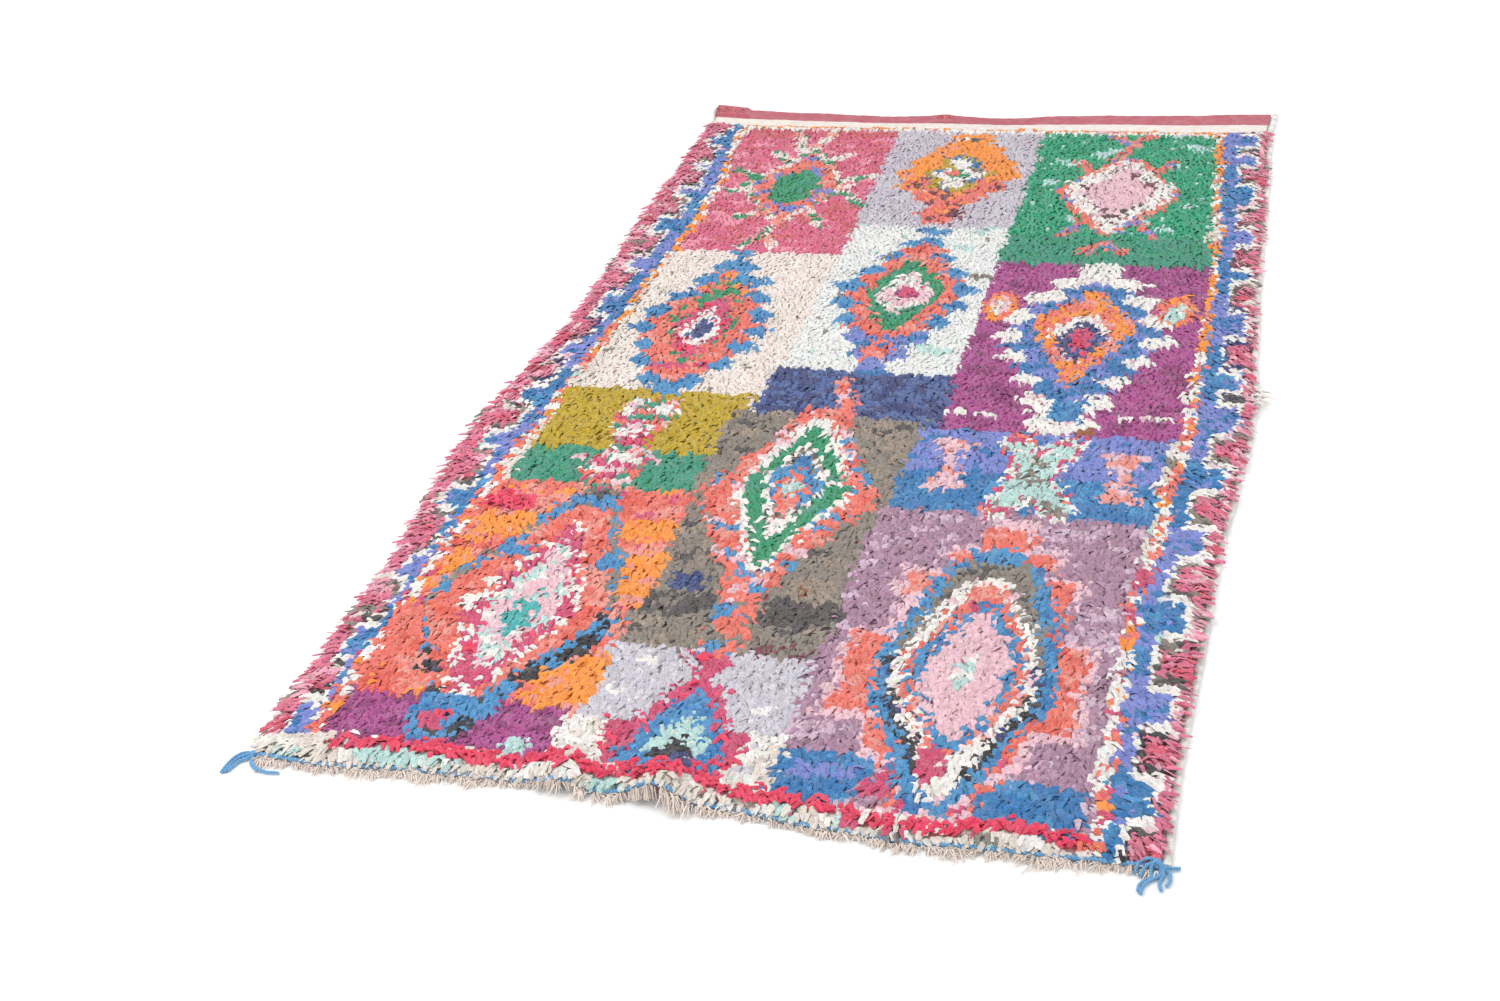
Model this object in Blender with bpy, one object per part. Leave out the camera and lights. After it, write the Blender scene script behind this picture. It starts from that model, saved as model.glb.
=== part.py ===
"""Boucherouite rug: a hand-knotted rag rug, 1.5 m wide and 2.7 m long, lying flat.

Frame in metres: +X across the rug, +Y towards its far end, +Z up. The origin is on the
floor under the middle of the rug. "Across" is measured from the left side and "along"
from the near end, so both run from zero.
"""

import math
import random

import bmesh
import bpy
import numpy as np

# Driving sizes
WIDTH = 1.50
LENGTH = 2.70
CENTRE_ACROSS = 0.757
CENTRE_ALONG = 1.324
PILE_HEIGHT = 0.020
PILE_WAVE = 0.004
PILE_WAVE_TURNS = ((7.3, 2.9), (-3.1, 4.7))
PILE_LUMP = 0.005
RIM_HEIGHT = 0.017
RIM_EVENNESS = 0.3
NEAR_PILE_HEIGHT = 0.014
BAND_HEIGHT = 0.005
BAND_START = 2.585
BAND_EDGE = 2.595
BAND_MIDDLE = 2.635
CORNER_FOLD_HEIGHT = 0.013
CORNER_FOLD_WIDTH = 0.10
PIECE_GAP = 0.0003
SEED = 7

# Cells of the cloth's surface
CELL_LENGTH = 0.040
SIDE_COLUMNS = 11
RIPPLE_COLUMNS = 13
RIPPLE_ACROSS = (0.46, 0.83)
NEAR_ROWS = (0.0, 0.035, 0.075, 0.12, 0.17)
NEAR_BLEND = 0.30
FAR_BLEND = 0.13

# Locks of pile along the sides
LOCK_ROOT_HEIGHT = 0.0105
LOCK_REACH_LEFT = (0.013, 0.027)
LOCK_REACH_RIGHT = (0.006, 0.015)
LOCK_TAPER = (0.50, 0.72)
LOCK_FLAT = 0.62
LOCK_LEAN = 0.10
LOCK_DROOP = 0.0015

# Edge cords, end cord and fringe
SELVEDGE_WIDTH_LEFT = 0.012
SELVEDGE_WIDTH_RIGHT = 0.019
SELVEDGE_HEIGHT = 0.009
SELVEDGE_SHOULDER = 0.005
SELVEDGE_DIP = 0.001
SELVEDGE_CROWN_FROM = 0.25
SELVEDGE_CROWN_TO = 0.72
TWINING_WIDTH = 0.009
TWINING_HEIGHT = 0.008
TWINING_LOW = 0.0065
FRINGE_STRIP_WIDTH = 0.004
FRINGE_HEIGHT = 0.004
FRINGE_PITCH = 0.016
FRINGE_ROOT_SHARE = 0.62
FRINGE_LENGTH = (0.013, 0.024)
FRINGE_TIP_HEIGHT = 0.002
FRINGE_TIP_WIDTH = 0.45
FRINGE_SWAY = 0.003
FRINGE_DROP = 0.7

# Tassels at the near corners
KNOT_SIDES = 12
KNOT_RADIUS = 0.0056
KNOT_HEIGHT = 0.009
KNOT_CROWN = 0.002
YARN_WIDTH = 0.0045
YARN_HEIGHT = 0.0045

# How far each side wanders, a row for each place along the rug. Left and right are
# measured from a straight rectangle, and positive is towards +X.
# Columns: along, left, right.
SIDE_WANDER = (
    (0.00, 0.008, 0.003),
    (0.20, 0.010, 0.000),
    (0.60, 0.012, 0.010),
    (0.80, -0.006, 0.014),
    (1.00, -0.016, 0.028),
    (1.15, -0.008, 0.038),
    (1.30, 0.010, 0.042),
    (1.50, 0.030, 0.028),
    (1.80, 0.032, 0.015),
    (2.00, 0.022, 0.010),
    (2.30, 0.030, 0.003),
    (2.50, 0.030, -0.005),
    (2.60, 0.022, -0.008),
    (2.70, 0.008, -0.003),
)

# The ends, a row for each place across: how far along the near and far edges lie.
# Columns: across, near, far.
END_WANDER = (
    (0.00, 0.018, 2.705),
    (0.12, 0.012, 2.685),
    (0.28, 0.024, 2.673),
    (0.48, 0.028, 2.660),
    (0.64, 0.026, 2.668),
    (0.80, 0.022, 2.658),
    (1.00, 0.004, 2.678),
    (1.12, -0.004, 2.686),
    (1.25, 0.002, 2.690),
    (1.50, 0.006, 2.706),
)

# Ripples that lift the near end off the floor. Columns: across, height, half width.
RIPPLES = (
    (0.555, 0.018, 0.036),
    (0.715, 0.034, 0.046),
)
RIPPLE_REACH = 0.16
RIPPLE_FLOOR = 0.0008

# Routes of the tassel yarns, as distances from the middle of their knot.
LEFT_YARNS = (
    ((-0.013, -0.005), (-0.024, -0.014), (-0.026, -0.026), (-0.018, -0.038)),
    ((-0.007, -0.012), (-0.012, -0.024), (-0.005, -0.038)),
    ((0.000, -0.014), (0.004, -0.032), (0.020, -0.043), (0.055, -0.047), (0.090, -0.047)),
)
RIGHT_YARNS = (
    ((0.000, -0.014), (-0.002, -0.034), (-0.013, -0.052), (-0.024, -0.060)),
    ((0.007, -0.013), (0.008, -0.034), (0.000, -0.056)),
    ((0.013, -0.008), (0.018, -0.026), (0.015, -0.043)),
    ((0.015, 0.000), (0.027, 0.002)),
)

# Base colours, as linear red, green and blue, and roughness
ROSE_PILE = (0.55, 0.16, 0.25)
GREY_WOOL = (0.62, 0.60, 0.57)
WHITE_WOOL = (0.74, 0.72, 0.70)
BLUE_YARN = (0.09, 0.26, 0.52)
BEIGE_WARP = (0.64, 0.54, 0.43)
RAG_ROUGHNESS = 0.92
WOOL_ROUGHNESS = 0.95
YARN_ROUGHNESS = 0.85


def clear_scene():
    """Remove every object of the opening scene."""
    for obj in list(bpy.data.objects):
        bpy.data.objects.remove(obj, do_unlink=True)


def make_material(name, colour, roughness):
    """A Principled material for one kind of yarn or rag."""
    material = bpy.data.materials.new(name)
    material.use_nodes = True
    shader = material.node_tree.nodes["Principled BSDF"]
    shader.inputs["Base Color"].default_value = (*colour, 1.0)
    shader.inputs["Roughness"].default_value = roughness
    shader.inputs["Metallic"].default_value = 0.0
    return material


def make_object(name, mesh, material):
    """Turn a finished bmesh into one named object with its faces pointing out."""
    bmesh.ops.recalc_face_normals(mesh, faces=mesh.faces)
    data = bpy.data.meshes.new(name)
    mesh.to_mesh(data)
    mesh.free()
    data.materials.append(material)
    obj = bpy.data.objects.new(name, data)
    bpy.context.scene.collection.objects.link(obj)
    return obj


def smooth_read(place, places, values):
    """Read a short table with a soft curve through its rows."""
    index = int(np.clip(np.searchsorted(places, place) - 1, 0, len(places) - 2))
    share = (place - places[index]) / (places[index + 1] - places[index])
    share = min(max(share, 0.0), 1.0)
    share = share * share * (3.0 - 2.0 * share)
    return values[index] + (values[index + 1] - values[index]) * share


def side_edge(along, side):
    """Across position of the cloth's outer edge: side is 0 for left and 1 for right."""
    places = [row[0] for row in SIDE_WANDER]
    wander = [row[1 + side] for row in SIDE_WANDER]
    return WIDTH * side + smooth_read(along, places, wander)


def end_edge(across, end):
    """Along position of an end edge: end is 0 for near and 1 for far."""
    places = [row[0] for row in END_WANDER]
    return smooth_read(across, places, [row[1 + end] for row in END_WANDER])


def ripple_lift(across, past_edge):
    """How far the cloth is lifted, at a distance in from its near edge."""
    fade = max(0.0, 1.0 - past_edge / RIPPLE_REACH)
    lift = sum(
        height * math.exp(-(((across - middle) / half_width) ** 2))
        for middle, height, half_width in RIPPLES
    )
    return max(0.0, lift * fade * fade * (3.0 - 2.0 * fade) - RIPPLE_FLOOR)


def world(across, along, height):
    """A point in the rug's frame."""
    return (across - CENTRE_ACROSS, along - CENTRE_ALONG, height)


def column_places():
    """Places across the cloth, closer together where the ripples are."""
    start, stop = RIPPLE_ACROSS
    left = np.linspace(0.0, start, SIDE_COLUMNS + 1)
    middle = np.linspace(start, stop, RIPPLE_COLUMNS + 1)
    right_columns = math.ceil((WIDTH - stop) / CELL_LENGTH)
    right = np.linspace(stop, WIDTH, right_columns + 1)
    return [float(place) for place in (*left, *middle[1:], *right[1:])]


def row_places():
    """Places along the cloth, with the steps of its flat-woven far end."""
    start = NEAR_ROWS[-1]
    count = round((BAND_START - start) / CELL_LENGTH)
    pile = np.linspace(start, BAND_START, count + 1)
    ends = (BAND_EDGE, BAND_MIDDLE, LENGTH)
    return [float(place) for place in (*NEAR_ROWS, *pile[1:], *ends)]


class Cloth:
    """The grid that the body and everything along its edges are built on."""

    def __init__(self):
        self.columns = column_places()
        self.rows = row_places()
        self.pile_rows = self.rows.index(BAND_START) + 1
        self.draws = random.Random(SEED)
        self.places = [[self.place(row, column) for column in self.columns] for row in self.rows]
        grid = range(len(self.columns))
        self.tops = [[self.top(j, i) for i in grid] for j in range(len(self.rows))]

    def place(self, row, column):
        """Plan position (across, along) of one grid point."""
        near_share = max(0.0, 1.0 - row / NEAR_BLEND)
        far_share = max(0.0, 1.0 - (LENGTH - row) / FAR_BLEND)
        near = end_edge(column, 0) + TWINING_WIDTH / 2
        far = end_edge(column, 1) - LENGTH
        along = row + near * near_share + far * far_share
        left = side_edge(along, 0) + SELVEDGE_WIDTH_LEFT + PIECE_GAP
        right = side_edge(along, 1) - SELVEDGE_WIDTH_RIGHT - PIECE_GAP
        return left + (right - left) * column / WIDTH, along

    def lift(self, j, i):
        """Height of the cloth's underside at a grid point."""
        return ripple_lift(self.places[j][i][0], self.rows[j])

    def top(self, j, i):
        """Height of the cloth above its underside at a grid point."""
        across, along = self.places[j][i]
        lump = self.draws.uniform(-PILE_LUMP, PILE_LUMP)
        if j >= self.pile_rows:
            folded = self.rows[j] >= BAND_MIDDLE and self.columns[i] <= CORNER_FOLD_WIDTH
            return CORNER_FOLD_HEIGHT if folded else BAND_HEIGHT
        if j == 0:
            return NEAR_PILE_HEIGHT + RIM_EVENNESS * lump
        wave = 1.0
        for turns_across, turns_along in PILE_WAVE_TURNS:
            wave *= math.sin(turns_across * across + turns_along * along)
        if i in (0, len(self.columns) - 1):
            return RIM_HEIGHT + RIM_EVENNESS * (PILE_WAVE * wave + lump)
        return PILE_HEIGHT + PILE_WAVE * wave + lump

    def near_points(self):
        """Plan position and lift of each grid point along the near edge."""
        return [(*self.places[0][i], self.lift(0, i)) for i in range(len(self.columns))]


def draw_out(mesh, root, rings):
    """Close a tube that grows from a root loop through rings of new corners to its tip."""
    last = root
    for ring in rings:
        corners = [mesh.verts.new(corner) for corner in ring]
        for k, corner in enumerate(corners):
            after = (k + 1) % len(corners)
            mesh.faces.new((last[k], last[after], corners[after], corner))
        last = corners
    mesh.faces.new(last)


def lock_tip(root, side, draws):
    """Corners of a lock's free end. The root runs low, low, high, high."""
    reach = draws.uniform(*(LOCK_REACH_LEFT, LOCK_REACH_RIGHT)[side])
    taper = draws.uniform(*LOCK_TAPER)
    lean = draws.uniform(-LOCK_LEAN, LOCK_LEAN)
    corners = np.array([vert.co[:] for vert in root])
    middle = corners.mean(axis=0)
    length = abs(corners[1, 1] - corners[0, 1])
    tips = middle + (corners - middle) * (1.0, taper, LOCK_FLAT)
    tips[:, 0] = middle[0] + (reach if side else -reach)
    tips[:, 1] += lean * length
    tips[:, 2] -= LOCK_DROOP
    lowest = LOCK_ROOT_HEIGHT - tips[:, 2].min()
    tips[:, 2] += max(0.0, lowest)
    return [tuple(corner) for corner in tips]


def add_underside(mesh, bottoms, grid_rows):
    """Close the flat underside with wide faces, beyond the rows that ripples lift."""
    last_column = len(bottoms[0]) - 1
    last_row = len(bottoms) - 1
    for j in range(grid_rows):
        for i in range(last_column):
            mesh.faces.new((bottoms[j][i], bottoms[j + 1][i], bottoms[j + 1][i + 1], bottoms[j][i + 1]))
    for j in range(grid_rows + 1, last_row - 1):
        lower = (bottoms[j][0], bottoms[j][last_column])
        upper = (bottoms[j + 1][last_column], bottoms[j + 1][0])
        mesh.faces.new((*lower, *upper))
    middle = last_column // 2
    for many, few in ((grid_rows, grid_rows + 1), (last_row, last_row - 1)):
        left, right = bottoms[few][0], bottoms[few][last_column]
        for i in range(last_column):
            apex = left if i < middle else right
            mesh.faces.new((bottoms[many][i], bottoms[many][i + 1], apex))
        mesh.faces.new((left, right, bottoms[many][middle]))


def make_rug(cloth):
    """The body: a lumpy slab of pile with a thin woven far end and locks at its sides."""
    mesh = bmesh.new()
    row_count, column_count = len(cloth.rows), len(cloth.columns)
    last_row, last_column = row_count - 1, column_count - 1
    grid_rows = len(NEAR_ROWS)
    tops, bottoms = [], []
    for j in range(row_count):
        gridded = j <= grid_rows or j == last_row
        tops.append([])
        bottoms.append({})
        for i in range(column_count):
            across, along = cloth.places[j][i]
            lift = cloth.lift(j, i)
            tops[j].append(mesh.verts.new(world(across, along, lift + cloth.tops[j][i])))
            if gridded or i in (0, last_column):
                bottoms[j][i] = mesh.verts.new(world(across, along, lift))

    for j in range(last_row):
        for i in range(last_column):
            mesh.faces.new((tops[j][i], tops[j][i + 1], tops[j + 1][i + 1], tops[j + 1][i]))
    add_underside(mesh, bottoms, grid_rows)

    for side, i in enumerate((0, last_column)):
        middles = []
        for j in range(row_count):
            across, along = cloth.places[j][i]
            is_pile = 0 < j < cloth.pile_rows
            height = LOCK_ROOT_HEIGHT if is_pile else cloth.tops[j][i] / 2
            middles.append(mesh.verts.new(world(across, along, height)))
        for j in range(last_row):
            mesh.faces.new((bottoms[j][i], bottoms[j + 1][i], middles[j + 1], middles[j]))
            root = (middles[j], middles[j + 1], tops[j + 1][i], tops[j][i])
            if 0 < j < cloth.pile_rows - 1:
                draw_out(mesh, root, [lock_tip(root, side, cloth.draws)])
            else:
                mesh.faces.new(root)
        beside = i + (1 if i == 0 else -1)
        for j in (0, last_row):
            edge = (bottoms[j][i], middles[j], tops[j][i])
            mesh.faces.new((*edge, tops[j][beside], bottoms[j][beside]))

    for j in (0, last_row):
        for i in range(1, last_column - 1):
            mesh.faces.new((bottoms[j][i], bottoms[j][i + 1], tops[j][i + 1], tops[j][i]))
    return make_object("rug", mesh, make_material("rag_pile", ROSE_PILE, RAG_ROUGHNESS))


def sweep(mesh, sections):
    """Join closed sections of equal corners into one capped bar."""
    rings = [[mesh.verts.new(corner) for corner in section] for section in sections]
    for first, second in zip(rings, rings[1:]):
        for k in range(len(first)):
            after = (k + 1) % len(first)
            mesh.faces.new((first[k], first[after], second[after], second[k]))
    mesh.faces.new(rings[0])
    mesh.faces.new(rings[-1])


def make_selvedge(cloth, name, side, width, colour):
    """The overcast cord along one side, a little apart from the body's edge."""
    mesh = bmesh.new()
    sections = []
    column = len(cloth.columns) - 1 if side else 0
    outwards = 1 if side else -1
    for j in range(len(cloth.rows)):
        across, along = cloth.places[j][column]
        inner = across + outwards * PIECE_GAP
        crown = SELVEDGE_HEIGHT - (SELVEDGE_DIP if j % 2 else 0.0)
        profile = (
            (0.0, 0.0),
            (1.0, 0.0),
            (1.0, SELVEDGE_SHOULDER),
            (SELVEDGE_CROWN_TO, crown),
            (SELVEDGE_CROWN_FROM, crown),
            (0.0, SELVEDGE_SHOULDER),
        )
        reach = outwards * width
        sections.append([world(inner + reach * share, along, height) for share, height in profile])
    sweep(mesh, sections)
    return make_object(name, mesh, make_material(name + "_wool", colour, WOOL_ROUGHNESS))


def make_twining(cloth):
    """The twined cord that closes the near end, riding over the ripples with the cloth."""
    mesh = bmesh.new()
    points = cloth.near_points()
    sections = []
    for index in range(2 * len(points) - 1):
        first = np.array(points[index // 2])
        second = np.array(points[(index + 1) // 2])
        across, along, lift = (first + second) / 2
        crown = lift + (TWINING_LOW if index % 2 else TWINING_HEIGHT)
        inner = along - PIECE_GAP
        outer = inner - TWINING_WIDTH
        middle = (inner + outer) / 2
        shoulder = lift + TWINING_LOW / 2
        floor_side = ((inner, lift), (outer, lift))
        profile = (*floor_side, (outer, shoulder), (middle, crown), (inner, shoulder))
        sections.append([world(across, place, height) for place, height in profile])
    sweep(mesh, sections)
    return make_object("end_twining", mesh, make_material("twining_yarn", BLUE_YARN, YARN_ROUGHNESS))


def fringe_sections(cloth):
    """Places (across, along, lift, has_strand) of the strip's sections, strand by strand."""
    points = cloth.near_points()
    places = []
    for first, second in zip(points, points[1:]):
        count = max(1, round((second[0] - first[0]) / FRINGE_PITCH))
        for strand in range(count):
            for share, has_strand in ((0.0, False), (1 - FRINGE_ROOT_SHARE, True)):
                part = (strand + share) / count
                place = [a + (b - a) * part for a, b in zip(first, second)]
                places.append((*place, has_strand))
    places.append((*points[-1], False))
    return places


def fringe_strand(root, draws):
    """Rings of one strand, sinking to rest level on the floor. The root runs low, low, high, high."""
    corners = np.array([vert.co[:] for vert in root])
    middle = corners.mean(axis=0)
    lift = corners[:, 2].min()
    length = draws.uniform(*FRINGE_LENGTH)
    sway = draws.uniform(-FRINGE_SWAY, FRINGE_SWAY)
    rings = []
    for share in (0.5, 1.0):
        width = 1.0 + (FRINGE_TIP_WIDTH - 1.0) * share
        base = max(0.0, lift - FRINGE_DROP * length * share)
        height = FRINGE_HEIGHT + (FRINGE_TIP_HEIGHT - FRINGE_HEIGHT) * share
        ring = middle + (corners - middle) * (width, 0.0, 0.0)
        ring[:, 0] += sway * share
        ring[:, 1] = corners[:, 1].mean() - length * share
        ring[:, 2] = base + np.array((0.0, 0.0, height, height))
        rings.append([tuple(corner) for corner in ring])
    return rings


def make_fringe(cloth):
    """The warp fringe: one narrow strip beside the twining with a row of short strands."""
    mesh = bmesh.new()
    offset = 2 * PIECE_GAP + TWINING_WIDTH
    places = fringe_sections(cloth)
    rings = []
    for across, along, lift, _ in places:
        inner = along - offset
        outer = inner - FRINGE_STRIP_WIDTH
        crown = lift + FRINGE_HEIGHT
        profile = ((inner, lift), (outer, lift), (outer, crown), (inner, crown))
        rings.append([mesh.verts.new(world(across, place, height)) for place, height in profile])
    for place, first, second in zip(places, rings, rings[1:]):
        for k in (0, 2, 3):
            after = (k + 1) % 4
            mesh.faces.new((first[k], first[after], second[after], second[k]))
        root = (first[1], second[1], second[2], first[2])
        if place[3]:
            draw_out(mesh, root, fringe_strand(root, cloth.draws))
        else:
            mesh.faces.new(root)
    mesh.faces.new(rings[0])
    mesh.faces.new(rings[-1])
    return make_object("end_fringe", mesh, make_material("fringe_warp", BEIGE_WARP, WOOL_ROUGHNESS))


def yarn_rings(route, centre, start):
    """Rings of a flat-lying yarn that follows its route from the knot's side."""
    points = [np.array(start[:2])] + [np.array(centre) + np.array(step) for step in route]
    rings = []
    for k in range(1, len(points)):
        ahead = points[min(k + 1, len(points) - 1)] - points[k - 1]
        across = np.array((-ahead[1], ahead[0])) / np.linalg.norm(ahead) * YARN_WIDTH / 2
        right, left = points[k] - across, points[k] + across
        rings.append([(*right, 0.0), (*left, 0.0), (*left, YARN_HEIGHT), (*right, YARN_HEIGHT)])
    return rings


def make_tassel(name, centre, routes):
    """A knot of yarn with loose ends lying on the floor around it."""
    mesh = bmesh.new()
    levels = []
    for height in (0.0, YARN_HEIGHT, KNOT_HEIGHT):
        ring = []
        for k in range(KNOT_SIDES):
            angle = 2 * math.pi * (k + 0.5) / KNOT_SIDES
            x = centre[0] + KNOT_RADIUS * math.cos(angle)
            y = centre[1] + KNOT_RADIUS * math.sin(angle)
            ring.append(mesh.verts.new((x, y, height)))
        levels.append(ring)
    low, waist, high = levels
    walls = {}
    for k in range(KNOT_SIDES):
        after = (k + 1) % KNOT_SIDES
        walls[k] = (low[k], low[after], waist[after], waist[k])
        mesh.faces.new((waist[k], waist[after], high[after], high[k]))
    mesh.faces.new(low)
    crown = mesh.verts.new((*centre, KNOT_HEIGHT + KNOT_CROWN))
    for k in range(KNOT_SIDES):
        mesh.faces.new((high[k], high[(k + 1) % KNOT_SIDES], crown))

    for route in routes:
        bearing = math.atan2(route[0][1], route[0][0])
        turn = bearing / (2 * math.pi) * KNOT_SIDES - 1.0
        root = walls.pop(round(turn) % KNOT_SIDES)
        start = (np.array(root[0].co) + np.array(root[1].co)) / 2
        draw_out(mesh, root, yarn_rings(route, centre, start))
    for wall in walls.values():
        mesh.faces.new(wall)
    return make_object(name, mesh, make_material(name + "_yarn", BLUE_YARN, YARN_ROUGHNESS))


def knot_centre(cloth, side):
    """Middle of a corner knot, tucked against the ends of the selvedge and the twining."""
    column = len(cloth.columns) - 1 if side else 0
    across, along = cloth.places[0][column]
    outwards = 1 if side else -1
    clear = KNOT_RADIUS + PIECE_GAP
    x, y, _ = world(across + outwards * clear, along - clear, 0.0)
    return x, y


def main():
    clear_scene()
    cloth = Cloth()
    make_rug(cloth)
    make_selvedge(cloth, "selvedge_left", 0, SELVEDGE_WIDTH_LEFT, GREY_WOOL)
    make_selvedge(cloth, "selvedge_right", 1, SELVEDGE_WIDTH_RIGHT, WHITE_WOOL)
    make_twining(cloth)
    make_fringe(cloth)
    make_tassel("tassel_left", knot_centre(cloth, 0), LEFT_YARNS)
    make_tassel("tassel_right", knot_centre(cloth, 1), RIGHT_YARNS)


main()
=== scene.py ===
"""Boucherouite rug: the looks of a hand-knotted rag rug, laid out as an add-on.

It is run as a script. It dresses the plain solids of the rug with a ground cloth, knotted
rags in many colours, flat-woven bands, overcast edges, a twined end cord, a warp fringe
and two corner tassels. The frame is in metres: +X across, +Y along to the far end, +Z up.
"Across" is measured from the rug's left side and "along" from its near end.
"""

from collections import namedtuple

import bpy
import numpy as np
from bpy.props import FloatProperty, FloatVectorProperty, IntProperty, PointerProperty
from mathutils import Matrix, Vector


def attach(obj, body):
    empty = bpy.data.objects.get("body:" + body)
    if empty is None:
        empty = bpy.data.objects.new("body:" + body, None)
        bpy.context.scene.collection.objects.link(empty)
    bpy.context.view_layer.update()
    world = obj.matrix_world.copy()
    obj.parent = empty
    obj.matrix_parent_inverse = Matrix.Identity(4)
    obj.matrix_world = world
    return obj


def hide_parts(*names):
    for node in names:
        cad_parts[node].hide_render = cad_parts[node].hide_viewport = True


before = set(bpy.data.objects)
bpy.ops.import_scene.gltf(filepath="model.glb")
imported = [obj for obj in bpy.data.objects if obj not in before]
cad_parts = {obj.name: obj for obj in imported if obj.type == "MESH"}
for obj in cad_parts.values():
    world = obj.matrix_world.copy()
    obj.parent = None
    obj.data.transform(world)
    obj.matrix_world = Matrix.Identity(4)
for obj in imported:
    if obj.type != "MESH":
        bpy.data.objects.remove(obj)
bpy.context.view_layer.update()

bl_info = {
    "name": "Rag rug",
    "version": (1, 0, 0),
    "blender": (4, 5, 0),
    "location": "View3D > Sidebar > Rag rug",
    "description": "Knots a boucherouite rug from rags of many colours",
    "category": "Add Mesh",
}

# The plan of the rug, as its solids have it
CENTRE_ACROSS = 0.757
CENTRE_ALONG = 1.324
PIECE_GAP = 0.0003
NEAR_BLEND = 0.30
FAR_BLEND = 0.13
BAND_START = 2.585
BAND_MIDDLE = 2.635
SELVEDGE_WIDTH_LEFT = 0.012
SELVEDGE_WIDTH_RIGHT = 0.019
TWINING_WIDTH = 0.009
KNOT_RADIUS = 0.0056
RIPPLE_REACH = 0.16
RIPPLE_FLOOR = 0.0008

# How far each side wanders from a straight rectangle. Columns: along, left, right.
SIDE_WANDER = (
    (0.00, 0.008, 0.003),
    (0.20, 0.010, 0.000),
    (0.60, 0.012, 0.010),
    (0.80, -0.006, 0.014),
    (1.00, -0.016, 0.028),
    (1.15, -0.008, 0.038),
    (1.30, 0.010, 0.042),
    (1.50, 0.030, 0.028),
    (1.80, 0.032, 0.015),
    (2.00, 0.022, 0.010),
    (2.30, 0.030, 0.003),
    (2.50, 0.030, -0.005),
    (2.60, 0.022, -0.008),
    (2.70, 0.008, -0.003),
)

# Where the near and far edges lie along the rug. Columns: across, near, far.
END_WANDER = (
    (0.00, 0.018, 2.705),
    (0.12, 0.012, 2.685),
    (0.28, 0.024, 2.673),
    (0.48, 0.028, 2.660),
    (0.64, 0.026, 2.668),
    (0.80, 0.022, 2.658),
    (1.00, 0.004, 2.678),
    (1.12, -0.004, 2.686),
    (1.25, 0.002, 2.690),
    (1.50, 0.006, 2.706),
)

# Ripples that lift the near end. Columns: across, height, half width.
RIPPLES = (
    (0.555, 0.018, 0.036),
    (0.715, 0.034, 0.046),
)

# The camera that the chart was read through: its place, its lens, where it looks and its roll
CAMERA_ACROSS = 1.6754
CAMERA_ALONG = -2.0743
CAMERA_HEIGHT = 2.0430
CAMERA_LENS = 47.066
CAMERA_TARGET = (-0.1264, -0.4687, 0.0)
CAMERA_ROLL = 6.937

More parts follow.
